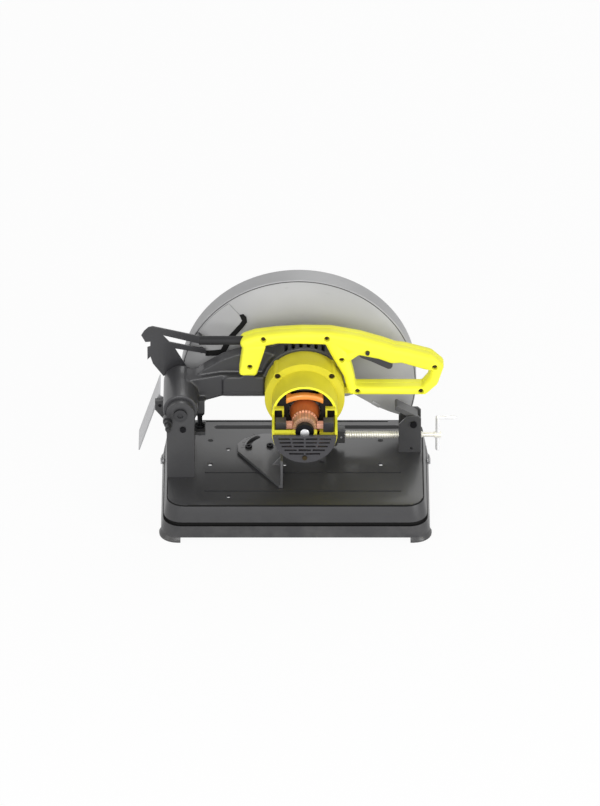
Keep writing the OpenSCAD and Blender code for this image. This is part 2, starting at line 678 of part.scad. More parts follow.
// Near side of the guard from middle to rim, as radius and place along Y
function dish(d) = [[24, guard_y0 - d], [guard_r - 75, guard_y0 - d], [guard_r - 55, guard_y0 + 2.4 - d],
    [guard_r - 38, guard_y0 + 7 - d], [guard_r - 24, guard_y0 + 12.4 - d], [guard_r - 12, guard_y0 + 17.8 - d],
    [guard_r - 4, guard_y0 + 22 - d]];

module turned(pts)
    translate([spindle_x, 0, spindle_z]) rotate([-90, 0, 0]) rotate_extrude($fn = 96) polygon(pts);

function reversed(v) = [for (i = [len(v) - 1:-1:0]) v[i]];

// What lies below the guard's lower edge
module guard_below()
    polygon([[-260, -100], [-260, 190], [-150, 190], [-150, 150], [84, 150], [96, 154],
        [230, 66], [230, -100]]);

module wheel_guard() color([0.72, 0.72, 0.73]) {
    difference() {
        turned(concat(dish(0), [[guard_r, guard_y0 + 25], [guard_r, guard_y1], [guard_r - guard_t, guard_y1],
            [guard_r - guard_t, guard_y0 + 30]], reversed(dish(-guard_t))));
        plate_y(0, 160) guard_below();
    }
    difference() {
        for (a = cover_screw_turns) translate([spindle_x, 0, spindle_z]) rotate([0, -a, 0])
            box([cover_screw_pr - 8, guard_y1 - 10, -6], [guard_r - 1, guard_y1, 6]);
        for (p = cover_screws_at) rod_y(2.5, guard_y1 - 20, guard_y1 + 1, p[0], p[1]);
    }
    difference() {
        rod_y(42, guard_y0, guard_y0 + guard_t, spindle_x, spindle_z);
        rod_y(24, guard_y0 - 1, guard_y0 + 5, spindle_x, spindle_z);
        plate_y(0, 160) translate([-300, 150]) square([600, 300]);
    }
}

cover_screw_pr = guard_r - 17;
cover_screw_turns = [5, 50, 95, 140];
cover_screws_at = [for (a = cover_screw_turns)
    [spindle_x + cover_screw_pr * cos(a), spindle_z + cover_screw_pr * sin(a)]];

module guard_cover() color([0.72, 0.72, 0.73]) difference() {
    union() {
        rod_y(guard_r, guard_y1, guard_y1 + guard_t, spindle_x, spindle_z);
        difference() {
            rod_y(150, guard_y1 + 1, guard_y1 + guard_t + 2, spindle_x, spindle_z);
            rod_y(120, guard_y1, guard_y1 + 10, spindle_x, spindle_z);
        }
    }
    plate_y(100, 160) guard_below();
    rod_y(60, 100, 160, spindle_x, spindle_z);
    for (p = cover_screws_at) rod_y(2.5, 100, 160, p[0], p[1]);
}

module guard_screws() color([0.55, 0.55, 0.57])
    for (p = cover_screws_at) {
        rod_y(2.5, guard_y1 - 6, guard_y1 + guard_t + 1, p[0], p[1]);
        rod_y(5, guard_y1 + guard_t, guard_y1 + guard_t + 3, p[0], p[1]);
    }

// Rear part of the dish, seen as its own panel
module panel_outline()
    polygon([[-150, 340], [-118, 322], [-91, 299], [-87, 291], [-92, 284], [-110, 262], [-122, 238],
        [-150, 231], [-200, 231], [-200, 340]]);

module guard_skin(d)
    difference() {
        turned(concat(dish(d), reversed(dish(0))));
        plate_y(0, 160) guard_below();
    }

module guard_panel() color([0.74, 0.74, 0.75]) intersection() {
    guard_skin(2);
    plate_y(40, 160) panel_outline();
}

module panel_seal() color([0.08, 0.08, 0.08]) intersection() {
    guard_skin(2.6);
    plate_y(40, 160) polygon([[-91, 299], [-87, 291], [-92, 284], [-110, 262], [-122, 238], [-147, 231.75],
        [-147, 222.6], [-116, 229], [-103, 258], [-86, 279], [-79, 289], [-80, 297], [-85, 301]]);
}

// Places where the two arms of the rear bracket reach the guard
arms_at = [for (a = [[guard_r - 6.4, 150.25], [guard_r - 20.4, 156.2]])
    [spindle_x + a[0] * cos(a[1]), spindle_z + a[0] * sin(a[1])]];

// Hooked sheet behind the far ear with two arms to the guard
module rear_bracket() color([0.28, 0.28, 0.3]) {
    y1 = bracket_y + 3;
    high = arms_at[0];
    low = arms_at[1];
    plate_y(bracket_y, y1) difference() {
        polygon(concat([[-240, 279], [-233, 281], [-226, 279.5], high + [7, 5], high + [7, -10], [-216.2, 264],
            [-205.6, 251.5], low + [6, 5], low + [8, -4], [-196.7, 238.8], [-175.4, 200], [-216, 186],
            [-233, 210], [-236.9, 223], [-241.8, 217.5], [-241.8, 240.7], [-236.9, 242.6],
            [-236.9, 251.7], [-245, 251], [-251.6, 263.8], [-247, 272]]));
        translate([pivot_x, pivot_z]) circle(14);
    }
    difference() {
        for (p = arms_at) rod_y(4, y1 - 1, guard_y0 + 30, p[0], p[1]);
        turned(concat([[0, guard_y0 - 2]], dish(2), [[guard_r, guard_y0 + 25], [guard_r, 140], [0, 140]]));
    }
}

// HEAD: MOTOR

module motor_housing() color([0.95, 0.72, 0.08]) difference() {
    union() {
        difference() {
            union() {
                rod_y(flange_r, -26, case_y0, motor_x, motor_z);
                rod_y(motor_r, -134, -25, motor_x, motor_z);
                for (p = flange_screws_at) rod_y(6.5, -26, case_y0, motor_x + p[0] , motor_z + p[1]);
            }
            rod_y(flange_r - 6, -21, case_y0 + 1, motor_x, motor_z);
            rod_y(bore_r, -140, 0, motor_x, motor_z);
        }
        for (p = flange_screws_at) rod_y(6, -22, case_y0, motor_x + p[0], motor_z + p[1]);
        intersection() {
            rod_y(bore_r + 1, -131, -122, motor_x, motor_z);
            union() {
                rod_y(20, -131, -122, motor_x, motor_z);
                box([motor_x - 60, -130, motor_z - 9], [motor_x + 60, -123, motor_z]);
                box([motor_x - 5, -130, motor_z - 60], [motor_x + 5, -123, motor_z]);
            }
        }
        intersection() {
            rod_y(bore_r + 1, -118, -96, motor_x, motor_z);
            for (s = [-1, 1]) translate([motor_x + s * 38, -107, motor_z - 14])
                cube([28, 22, 10], center = true);
        }
        box(seat_low, seat_high);
    }
    box([motor_x - 100, -160, motor_z], [motor_x + 100, cut_y, motor_z + 100]);
    rod_y(15, -140, -100, motor_x, motor_z);
    for (p = flange_screws_at) {
        rod_y(2.5, -30, case_y0 + 1, motor_x + p[0], motor_z + p[1]);
        rod_y(recess_r, -30, recess_y, motor_x + p[0], motor_z + p[1]);
    }
    rod_y(2, -140, -122, motor_x, motor_z - 42);
}

module end_cap() color([0.08, 0.08, 0.085]) difference() {
    rod_y(bore_r + 2.5, cap_y, -134, motor_x, motor_z);
    box([motor_x - 100, cap_y - 1, motor_z - 2], [motor_x + 100, -100, motor_z + 100]);
    for (drop = [7:7:35])
        let (w = sqrt(pow(bore_r - 6, 2) - drop * drop), n = round(2 * w / cap_dash),
            step = (2 * w + cap_rib) / n)
            for (i = [0:n - 1]) translate([motor_x - w + i * step, cap_y - 1, motor_z - drop - 1.4])
                cube([step - cap_rib, 10, 2.8]);
    rod_y(2, cap_y - 1, -120, motor_x, motor_z - 42);
}

module motor_screws() color([0.5, 0.5, 0.52]) {
    for (p = flange_screws_at) {
        rod_y(2.5, recess_y - 1, 29, motor_x + p[0], motor_z + p[1]);
        rod_y(recess_r - 0.8, recess_y - 3, recess_y, motor_x + p[0], motor_z + p[1]);
    }
    rod_y(2, cap_y - 1, -125, motor_x, motor_z - 42);
    rod_y(4, cap_y - 2.4, cap_y, motor_x, motor_z - 42);
}

module stator_core() color([0.4, 0.4, 0.42]) difference() {
    rod_y(bore_r, -64, -24, motor_x, motor_z);
    rod_y(core_r + 0.8, -70, -20, motor_x, motor_z);
    for (s = [-1, 1]) intersection() {
        rod_y(44, -70, -20, motor_x, motor_z);
        box([motor_x - 31, -70, motor_z + min(s * 20, s * 38)],
            [motor_x + 31, -20, motor_z + max(s * 20, s * 38)]);
    }
}

// Saddle coil with arched ends, above and below the armature
module field_coils() color([0.85, 0.42, 0.1])
    for (s = [-1, 1]) mirror_z(s) {
        for (y = [-76, -24]) plate_y(y, y + 12) intersection() {
            difference() {
                translate([motor_x, motor_z - 31]) circle(68);
                translate([motor_x, motor_z - 31]) circle(58.2);
            }
            translate([motor_x - 30.5, motor_z]) square([61, 60]);
        }
        for (side = [-1, 1]) intersection() {
            box([motor_x + side * 26.5 - 4, -66, motor_z + 22], [motor_x + side * 26.5 + 4, -22, motor_z + 33]);
            rod_y(43.5, -70, -20, motor_x, motor_z);
        }
    }

module mirror_z(s)
    translate([0, 0, motor_z]) mirror([0, 0, s < 0 ? 1 : 0]) translate([0, 0, -motor_z]) children();

module brush_holders() color([0.07, 0.07, 0.075])
    for (s = [-1, 1]) difference() {
        translate([motor_x + s * 38.5, -107, motor_z]) cube([17, 18, 18], center = true);
        translate([motor_x + s * 34, -107, motor_z]) cube([16, 11, 9], center = true);
    }

module brushes() color([0.6, 0.36, 0.2])
    for (s = [-1, 1]) intersection() {
        translate([motor_x + s * 29.8, -107, motor_z]) cube([20.4, 11, 9], center = true);
        difference() {
            rod_y(60, -120, -90, motor_x, motor_z);
            rod_y(comm_r + gap, -121, -89, motor_x, motor_z);
        }
    }

module armature_bearings() color([0.3, 0.3, 0.32]) {
    ball_bearing(5, 15, -131, -122, motor_x, motor_z);
    ball_bearing(6, 16, 16, 26, motor_x, motor_z);
}

module armature_shaft() color([0.75, 0.75, 0.77]) {
    rod_y(5, -133.6, -30, motor_x, motor_z);
    rod_y(6, -31, 32, motor_x, motor_z);
    rod_y(3.5, 31, 51, motor_x, motor_z);
}

module armature_core() color([0.42, 0.42, 0.44]) difference() {
    rod_y(core_r, -64, -24, motor_x, motor_z);
    rod_y(5, -100, -30.98, motor_x, motor_z);
    rod_y(6, -31, 20, motor_x, motor_z);
    for (i = [0:15]) translate([motor_x, -70, motor_z]) rotate([0, i * 22.5, 0])
        box([core_r - 4, 0, -1.2], [core_r + 2, 60, 1.2]);
}

// Wound ends on both sides of the core, ribbed like bundles of wire
module winding_end(y0, y1, r0, r1, hole)
    translate([motor_x, 0, motor_z]) rotate([-90, 0, 0]) difference() {
        rotate_extrude() polygon([[hole, y0], [r0, y0], [r1 - 2, (y0 + y1) / 2],
            [r1, y1 - 3], [r1 - 1, y1], [hole, y1]]);
        for (i = [0:15]) rotate([0, 0, i * 22.5 + 11]) translate([r1 + 0.8, 0, (y0 + y1) / 2])
            cube([3, 1.6, 80], center = true);
    }

module armature_windings() color([0.5, 0.26, 0.12]) {
    winding_end(-95, -64, comm_r, core_r - 1.4, 5);
    translate([motor_x, 0, motor_z]) rotate([-90, 0, 0])
        rotate_extrude() polygon([[6, -24], [24, -24], [24, -16], [18, -12], [6, -12]]);
}

module commutator() color([0.72, 0.45, 0.25]) difference() {
    union() {
        rod_y(comm_r, -117, -95, motor_x, motor_z);
        rod_y(comm_r + 2, -98, -95, motor_x, motor_z);
    }
    rod_y(5, -130, -90, motor_x, motor_z);
    for (i = [0:23]) translate([motor_x, -99, motor_z]) rotate([0, i * 15, 0])
        box([comm_r - 0.6, 0, -0.8], [comm_r + 4, 10, 0.8]);
}

module fan() color([0.1, 0.1, 0.105]) {
    difference() {
        union() {
            rod_y(50, 8, 10.5, motor_x, motor_z);
            rod_y(12, -10, 10.5, motor_x, motor_z);
        }
        rod_y(6, -20, 20, motor_x, motor_z);
    }
    for (i = [0:11]) translate([motor_x, -6, motor_z]) rotate([0, i * 30, 0])
        box([20, 0, -1.1], [48, 15, 1.1]);
}

// HEAD: HANDLE

// Disc with rounded edges, the cross piece of the handle
module puck(p)
    translate([p[0], grip_y, p[1]]) rotate([-90, 0, 0]) rotate_extrude($fn = 20)
        polygon(let (r = p[2], e = min(grip_e, p[2] - 0.5), h = grip_t / 2) concat(
            [[0, -h]], [for (a = [-90:30:0]) [r - e + e * cos(a), -h + e + e * sin(a)]],
            [for (a = [0:30:90]) [r - e + e * cos(a), h - e + e * sin(a)]], [[0, h]]));

handle_runs = [
    [[-80, sleeve_z, 10], [-62, 299, 12]],
    [[-62, 299, 12], [-30, 305, 10.5], [10, 306, 12], [56, 305, 12.5], [100, 291, 17.5], [140, 280, 15.5],
        [158, 272.5, 15.5], [174, 272, 14], [214, 259.5, 14.7], [232, 250, 9]],
    [[232, 250, 9], [223, 222, 9.5], [209, 206, 7.5]],
    [[209, 206, 7.5], [92, 206, 7.5]],
    [[56, 305, 12.5], [72, 272, 13], [86, 236, 8.5], [92, 206, 7.5]],
    [[84, 268, 8], [98, 279, 8]]];

// Corners of the leg at the rear, which sits over the arm's lug
leg_at = [[-86, 241, 5.5], [-67.5, 241, 5.5], [-80, 288, 5.5], [-54, 288, 5.5]];

module handle_form() {
    for (run = handle_runs, i = [0:len(run) - 2]) hull() {
        puck(run[i]);
        puck(run[i + 1]);
    }
    hull() for (p = leg_at) puck(p);
}

module handle_half(y0, y1) color([0.95, 0.72, 0.08]) difference() {
    intersection() {
        handle_form();
        box([-200, y0, 100], [400, y1, 400]);
    }
    rod_x(sleeve_r, -100, -70, grip_y, sleeve_z);
    box(lug_low, lug_high);
    box(seat_low, seat_high);
    box([trigger_x - 7, grip_y - 8, trigger_z - 34], [trigger_x + 54, grip_y + 8, trigger_z + 4.5]);
    box([trigger_x + 1, grip_y - 10, trigger_z + 4.4], [trigger_x + 36, grip_y + 10, trigger_z + 10]);
    rod_y(2.5 + run_c, grip_y - 10.4, grip_y + 10.4, trigger_x, trigger_z);
    rod_y(button_r, -30, grip_y - 9.9, button_x, button_z);
    for (p = handle_screws_at) {
        rod_y(2, -30, grip_y + 12, p[0], p[1]);
        rod_y(well_r, -30, well_y, p[0], p[1]);
    }
}

module handle_near() handle_half(-60, grip_y);

module handle_far() handle_half(grip_y, 80);

module handle_screws() color([0.35, 0.35, 0.37])
    for (p = handle_screws_at) {
        rod_y(1.9, well_y - 1, grip_y + 11, p[0], p[1]);
        rod_y(well_r - 1.2, well_y - 3, well_y, p[0], p[1]);
    }

module switch_box() color([0.12, 0.12, 0.13])
    box([trigger_x + 1, grip_y - 10, trigger_z + 4.5], [trigger_x + 36, grip_y + 10, trigger_z + 10]);

module cord_sleeve() color([0.13, 0.13, 0.14]) difference() {
    rod_x(sleeve_r, -156.6, -70, grip_y, sleeve_z);
    rod_x(4.75, -160, -66, grip_y, sleeve_z);
}

module trigger() color([0.07, 0.07, 0.075]) {
    plate_y(grip_y - 7, grip_y + 7) translate([trigger_x, trigger_z])
        polygon([[-5, 3], [-6, -9], [-2, -13], [13, -19], [29, -27.5], [40, -33], [45, -32.5], [48, -28],
            [48, -15], [40, -8], [6, 3]]);
    rod_y(2.5, grip_y - 10, grip_y + 10, trigger_x, trigger_z);
}

module lock_button() color([0.05, 0.05, 0.055])
    rod_y(button_r - run_c, grip_y - grip_t / 2 - 4, grip_y - 14.5, button_x, button_z);

base_pan();
base_feet();
base_side_bolts();
pivot_bracket();
pivot_bracket_bolts();
deck_nuts();
pivot_shaft();
pivot_nut();
bracket_screws();
return_spring();
depth_stop_bolt();
depth_stop_nut();
lock_pin();
spark_deflector();
fence();
fence_bolts();
vise_bracket();
vise_bracket_bolts();
lever_bolt();
vise_lever();
vise_screw();
crank_rod();
jaw_yoke();
jaw_pin();
vise_jaw();
arm_casting();
gear_cover();
wheel_guard();
guard_cover();
guard_screws();
guard_panel();
panel_seal();
rear_bracket();
motor_housing();
end_cap();
motor_screws();
stator_core();
field_coils();
brush_holders();
brushes();
armature_bearings();
armature_shaft();
armature_core();
armature_windings();
commutator();
fan();
pinion();
drive_gear();
spindle();
spindle_bearings();
inner_flange();
outer_flange();
wheel_bolt();
handle_near();
handle_far();
handle_screws();
switch_box();
cord_sleeve();
trigger();
lock_button();
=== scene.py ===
"""Looks of an abrasive chop saw: finishes, vise thread, small trim, stage and light.

Every size is in metres and every place is in the CAD frame, unless a line says otherwise.
"""

from __future__ import annotations

import json
import logging
import math
from collections.abc import Callable, Iterable, Iterator
from contextlib import contextmanager
from dataclasses import dataclass, field
from enum import Enum
from typing import Any

import bpy
from mathutils import Matrix, Vector

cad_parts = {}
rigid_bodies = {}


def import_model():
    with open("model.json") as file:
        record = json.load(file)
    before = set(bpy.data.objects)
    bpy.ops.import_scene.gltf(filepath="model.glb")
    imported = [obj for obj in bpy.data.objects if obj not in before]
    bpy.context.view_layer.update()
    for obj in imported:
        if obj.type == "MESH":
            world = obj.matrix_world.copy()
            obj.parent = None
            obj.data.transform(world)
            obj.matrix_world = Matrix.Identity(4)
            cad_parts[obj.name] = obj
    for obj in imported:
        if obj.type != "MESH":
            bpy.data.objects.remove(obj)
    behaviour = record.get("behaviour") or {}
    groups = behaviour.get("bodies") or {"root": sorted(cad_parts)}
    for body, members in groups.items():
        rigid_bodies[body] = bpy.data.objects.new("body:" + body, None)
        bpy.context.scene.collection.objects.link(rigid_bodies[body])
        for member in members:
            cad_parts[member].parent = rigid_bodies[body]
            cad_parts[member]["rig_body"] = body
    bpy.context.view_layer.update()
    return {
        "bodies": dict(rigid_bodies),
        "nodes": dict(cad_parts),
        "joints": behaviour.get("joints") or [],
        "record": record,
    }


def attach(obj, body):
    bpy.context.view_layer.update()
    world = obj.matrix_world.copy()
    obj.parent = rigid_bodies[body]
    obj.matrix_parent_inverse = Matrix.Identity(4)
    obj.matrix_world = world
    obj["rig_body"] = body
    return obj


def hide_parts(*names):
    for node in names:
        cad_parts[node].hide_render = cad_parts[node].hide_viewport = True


Triple = tuple[float, float, float]
Rgba = tuple[float, float, float, float]
Profile = tuple[tuple[float, float], ...]
FaceTest = Callable[[list[Vector], Vector], bool]

log = logging.getLogger("chop_saw")

LONG = 0.006  # shortest edge that is rounded on a piece with fine facets
SHARP = math.radians(40)  # corners sharper than this are rounded
SMOOTH = math.radians(38)  # edges sharper than this stay sharp in the shading
FLAT = math.radians(0.6)  # facets that differ by less than this are one face
LEVEL = 0.00001  # points closer than this to a plane lie in it
SQUARE = 0.99  # a face whose normal has this much of an axis is square to it
CAD_WELD = 0.000002  # a CAD node's loose triangles are joined within this distance
LATHE_WELD = 0.000005  # points of a turned piece are joined within this distance
BLANK_R = 0.01  # radius of the blank ring that an outline is drawn from
WHITE: Rgba = (1, 1, 1, 1)  # colour of the sky and of the floor's plain white
SPINDLE = Vector((0.005, 0.0, 0.1634))  # a point on the wheel spindle's axis
MOTOR = Vector((0.015, 0.0, 0.20378))  # a point on the motor's axis


class Along(Enum):
    """Direction that an axis, a grain or a row of wires runs in."""

    X = (1.0, 0.0, 0.0)
    Y = (0.0, 1.0, 0.0)
    Z = (0.0, 0.0, 1.0)

    def stretch(self, own: float, others: float) -> Triple:
        """Stretch of a pattern that has its own value along this direction."""
        return tuple(own if part else others for part in self.value)


class Ease(Enum):
    """Width of the rounding on a piece's corners."""

    NONE = 0.0
    FINE = 0.00025
    LIGHT = 0.0004
    PLAIN = 0.0005
    FILED = 0.0006
    SOFT = 0.0008


class MeshPart(Enum):
    """Kind of mesh part that is picked out, with the name of the mesh's list of them."""

    EDGE = "edges"
    FACE = "polygons"


class Sock:
    """A shader value that takes part in Python arithmetic."""

    def __init__(self, graph: Graph, out: bpy.types.NodeSocket | None) -> None:
        """Holds one output socket of a graph."""
        self.graph = graph
        self.out = out

    def _math(self, operation: str, first: Any, second: Any) -> Sock:
        """Result of a new Math node with this operation on two values or sockets."""
        return self.graph.node("ShaderNodeMath", {"operation": operation}, {0: first, 1: second})

    def __add__(self, other: Any) -> Sock:
        """Sum of two values."""
        return self._math("ADD", self, other)

    __radd__ = __add__

    def __sub__(self, other: Any) -> Sock:
        """Difference of two values."""
        return self._math("SUBTRACT", self, other)

    def __rsub__(self, other: Any) -> Sock:
        """Difference with this value taken away."""
        return self._math("SUBTRACT", other, self)

    def __mul__(self, other: Any) -> Sock:
        """Product of two values."""
        return self._math("MULTIPLY", self, other)

    __rmul__ = __mul__

    def most(self, other: Any) -> Sock:
        """The larger of two values."""
        return self._math("MAXIMUM", self, other)

    def ramp(self, low: float, high: float) -> Sock:
        """Rises from 0 at low to 1 at high, held at both ends."""
        return self.graph.node("ShaderNodeMapRange", {"clamp": True},
                               {"Value": self, "From Min": low, "From Max": high})


class Graph:
    """The node tree of one material or of the world."""

    def __init__(self, owner: bpy.types.Material | bpy.types.World) -> None:
        """Empties the owner's node tree.

        Args:
            owner: what the tree belongs to.
        """
        owner.use_nodes = True
        self.owner = owner
        self.tree = owner.node_tree
        self.tree.nodes.clear()

    def node(self, kind: str, settings: dict[str, Any] | None = None,
             inputs: dict[Any, Any] | None = None, out: int | str = 0) -> Sock:
        """Adds one node, sets it and links it.

        Args:
            kind: the node's type.
            settings: its attributes, set first.
            inputs: socket name or number to a value or a Sock.
            out: name or number of the output to give back.

        Returns:
            The chosen output.
        """
        made = self.tree.nodes.new(kind)
        for key, value in (settings or {}).items():
            setattr(made, key, value)
        for key, value in (inputs or {}).items():
            socket = made.inputs[key]
            if isinstance(value, Sock):
                self.tree.links.new(value.out, socket)
            else:
                socket.default_value = value
        return Sock(self, made.outputs[out] if len(made.outputs) else None)

    def place(self, stretch: Triple = (1, 1, 1), centre: Triple = (0, 0, 0)) -> Sock:
        """Object coordinates from a centre, stretched."""
        where = self.node("ShaderNodeTexCoord", out="Object")
        return self.node("ShaderNodeMapping", {}, {
            "Vector": where, "Location": tuple(-part for part in centre), "Scale": stretch})

    def split(self, place: Sock, part: str) -> Sock:
        """One part, X, Y or Z, of a place."""
        return self.node("ShaderNodeSeparateXYZ", {}, {0: place}, part)

    def noise(self, scale: float, detail: float = 3.0, stretch: Triple = (1, 1, 1)) -> Sock:
        """Even cloudy noise from 0 to 1.

        Args:
            scale: clouds per metre.
            detail: octaves.
            stretch: more than 1 tightens the clouds along that axis.

        Returns:
            The noise value.
        """
        place = self.place(stretch)
        return self.node("ShaderNodeTexNoise", {},
                         {"Vector": place, "Scale": scale, "Detail": detail}, "Fac")

    def mix(self, factor: Any, first: Any, second: Any) -> Sock:
        """Mixes two colours."""
        return self.node("ShaderNodeMix", {"data_type": "RGBA"},
                         {0: factor, 6: first, 7: second}, 2)

    def bump(self, height: Sock, depth: float) -> Sock:
        """Normal pushed by a height from 0 to 1, which is this deep at 1."""
        return self.node("ShaderNodeBump", {},
                         {"Height": height, "Distance": depth, "Strength": 1.0})

    def surface(self, inputs: dict[str, Any]) -> bpy.types.Material:
        """Ends a material's tree in one shader.

        Args:
            inputs: values and links of the shader's sockets.

        Returns:
            The material.
        """
        shader = self.node("ShaderNodeBsdfPrincipled", {}, inputs)
        self.node("ShaderNodeOutputMaterial", {}, {"Surface": shader})
        return self.owner


@dataclass(frozen=True)
class Finish:
    """What every finish has.

    Attributes:
        name: the material's name.
        slot: the record's material slot; not used.
        colour: main colour, linear.
        rough: mean roughness.
    """

    name: str
    slot: str
    colour: Triple
    rough: float

    def graph(self) -> Graph:
        """Empty graph of a new material with the finish's name."""
        return Graph(bpy.data.materials.new(self.name))

    def shade(self, factor: float) -> Rgba:
        """The main colour made lighter or darker, with full alpha."""
        return (*(min(1.0, part * factor) for part in self.colour), 1.0)

    def clouded(self, g: Graph, clouds: Sock, dark: float, light: float) -> Sock:
        """The main colour, varied by soft clouds between a dark and a light factor."""
        return g.mix(clouds.ramp(0.3, 0.7), self.shade(dark), self.shade(light))

    def build(self) -> bpy.types.Material:
        """Makes the material."""
        raise NotImplementedError


@dataclass(frozen=True)
class Paint(Finish):
    """Sprayed paint: orange peel, faint clouds, thin scuffs and dust in the lower parts.

    Attributes:
        peel: bumps of the orange peel per metre.
        depth: depth of the orange peel.
        coat: share of clear coat.
        scuff: strength of the scuffs.
        dust_top: height where the dust ends.
        dust: colour of the dust.
    """

    peel: float = 900.0
    depth: float = 0.00003
    coat: float = 0.25
    scuff: float = 0.35
    dust_top: float = 0.05
    dust: Rgba = (0.16, 0.155, 0.15, 1)

    def build(self) -> bpy.types.Material:
        """Makes the material.

        Returns:
            The material with its nodes.
        """
        g = self.graph()
        clouds = g.noise(9, 4)
        scuffs = g.noise(60, 6, (1, 7, 1)).ramp(0.66, 0.78) * g.noise(14, 2).ramp(0.5, 0.66)
        low = 1.0 - g.split(g.place(), "Z").ramp(0.0, self.dust_top)
        dust = low * g.noise(40, 5).ramp(0.4, 0.75)
        body = self.clouded(g, clouds, 0.86, 1.14)
        worn = g.mix(scuffs * self.scuff, body, self.shade(2.4))
        return g.surface({
            "Base Color": g.mix(dust * 0.3, worn, self.dust),
            "Roughness": self.rough + clouds * 0.08 + scuffs * 0.15 + dust * 0.15,
            "Normal": g.bump(g.noise(self.peel, 2), self.depth),
            "Coat Weight": self.coat, "Coat Roughness": 0.18})


@dataclass(frozen=True)
class SheetMetal(Finish):
    """Satin silver sheet, finely brushed along one direction, with dull marks.

    Attributes:
        metal: how metallic it looks.
        along: direction of the brushing.
        brush: brush lines per metre.
        depth: depth of the brush lines.
    """

    metal: float = 0.55
    along: Along = Along.X
    brush: float = 700.0
    depth: float = 0.000012

    def build(self) -> bpy.types.Material:
        """Makes the material.

        Returns:
            The material with its nodes.
        """
        g = self.graph()
        lines = g.noise(self.brush, 3, self.along.stretch(0.04, 1.0))
        marks = g.noise(45, 5, (1, 5, 2)).ramp(0.68, 0.8)
        body = self.clouded(g, g.noise(7, 3), 0.92, 1.06)
        return g.surface({
            "Base Color": g.mix(marks * 0.35, body, self.shade(0.7)),
            "Metallic": self.metal,
            "Roughness": self.rough + lines * 0.1 + marks * 0.12,
            "Normal": g.bump(lines, self.depth)})


@dataclass(frozen=True)
class Moulding(Finish):
    """Moulded plastic or rubber with a fine spark-eroded grain and smoother smears.

    Attributes:
        grain: bumps of the grain per metre.
        depth: depth of the grain.
        spread: how much the colour varies.
        gloss: strength of the reflections.
    """

    grain: float = 2200.0
    depth: float = 0.00004
    spread: float = 0.07
    gloss: float = 0.5

    def build(self) -> bpy.types.Material:
        """Makes the material.

        Returns:
            The material with its nodes.
        """
        g = self.graph()
        fine = g.noise(self.grain, 2)
        smear = g.noise(30, 4, (1, 3, 3)).ramp(0.6, 0.8)
        return g.surface({
            "Base Color": self.clouded(g, g.noise(14, 3), 1 - self.spread, 1 + self.spread),
            "Roughness": self.rough + fine * 0.08 - smear * 0.08,
            "Normal": g.bump(fine, self.depth),
            "Specular IOR Level": self.gloss})


@dataclass(frozen=True)
class BareMetal(Finish):
    """Plated, turned or drawn metal with fine lines and faint stains.

    Attributes:
        along: direction that the lines follow each other in.
        streak: lines per metre.
        metal: how metallic it looks.
        depth: depth of the lines.
    """

    along: Along = Along.Y
    streak: float = 900.0
    metal: float = 1.0
    depth: float = 0.00001

    def build(self) -> bpy.types.Material:
        """Makes the material.

        Returns:
            The material with its nodes.
        """
        g = self.graph()
        lines = g.noise(self.streak, 3, self.along.stretch(1.0, 0.05))
        stains = g.noise(55, 4).ramp(0.55, 0.8)
        return g.surface({
            "Base Color": g.mix(stains * 0.5, self.shade(1.0), self.shade(0.66)),
            "Metallic": self.metal,
            "Roughness": self.rough + lines * 0.1 + stains * 0.1,
            "Normal": g.bump(lines, self.depth)})


@dataclass(frozen=True)
class Enamel(Finish):
    """Lacquered winding wire, laid side by side.

    Attributes:
        across: direction that the wires follow each other in.
        pitch: distance from wire to wire.
        relief: how much the single wires show, in the bump and in the painted shade between them,
            from 0 to 1.
        depth: depth between the wires at full relief.
    """

    across: Along = Along.Z
    pitch: float = 0.0012
    relief: float = 1.0
    depth: float = 0.00018

    def build(self) -> bpy.types.Material:
        """Makes the material.

        Returns:
            The material with its nodes.
        """
        g = self.graph()
        wander = g.noise(120, 2) * 0.6
        turns = g.split(g.place(), self.across.name) * (2 * math.pi / self.pitch) + wander
        wires = g.node("ShaderNodeMath", {"operation": "SINE"}, {0: turns}).ramp(-1, 1)
        clouds = g.noise(50, 3)
        # Painted shade darkens the troughs between the wires, and a painted highlight lightens
        # their crests.
        body = g.mix(wires, self.shade(1 - 0.28 * self.relief), self.shade(1 + 0.1 * self.relief))
        return g.surface({
            "Base Color": g.mix(clouds.ramp(0.35, 0.75) * 0.35, body, self.shade(0.6)),
            "Roughness": self.rough + clouds * 0.12,
            "Normal": g.bump(wires, self.depth * self.relief),
            "Coat Weight": 0.4})


@dataclass(frozen=True)
class CopperBars(Finish):
    """Commutator bars of copper with dark mica between, worn bright where the brushes run.

    Attributes:
        bars: number of bars.
        depth: depth of the mica under the bars.
        track_y: middle of the brushes' track, from the motor's point.
        track: half width of the bright track, and where it has faded out.
        bright: colour of the track.
        mica: colour between the bars.
    """

    bars: int = 24
    depth: float = 0.0003
    track_y: float = -0.107
    track: tuple[float, float] = (0.005, 0.008)
    bright: Rgba = (0.42, 0.22, 0.12, 1)
    mica: Rgba = (0.12, 0.06, 0.03, 1)

    def build(self) -> bpy.types.Material:
        """Makes the material.

        Returns:
            The material with its nodes.
        """
        g = self.graph()
        place = g.place(centre=tuple(MOTOR))
        turn = g.node("ShaderNodeMath", {"operation": "ARCTAN2"},
                      {0: g.split(place, "Z"), 1: g.split(place, "X")})
        wave = g.node("ShaderNodeMath", {"operation": "COSINE"}, {0: turn * float(self.bars)})
        mica = wave.ramp(0.86, 0.96)
        aside = g.split(place, "Y") - self.track_y
        track = 1.0 - aside.most(aside * -1.0).ramp(*self.track)
        clouds = g.noise(90, 3)
        worn = g.mix(track * 0.3, self.clouded(g, clouds, 0.8, 1.15), self.bright)
        return g.surface({
            "Base Color": g.mix(mica * 0.6, worn, self.mica),
            "Metallic": 0.55 - mica * 0.5,
            "Roughness": self.rough + clouds * 0.15 - track * 0.1,
            "Normal": g.bump(1.0 - mica, self.depth)})


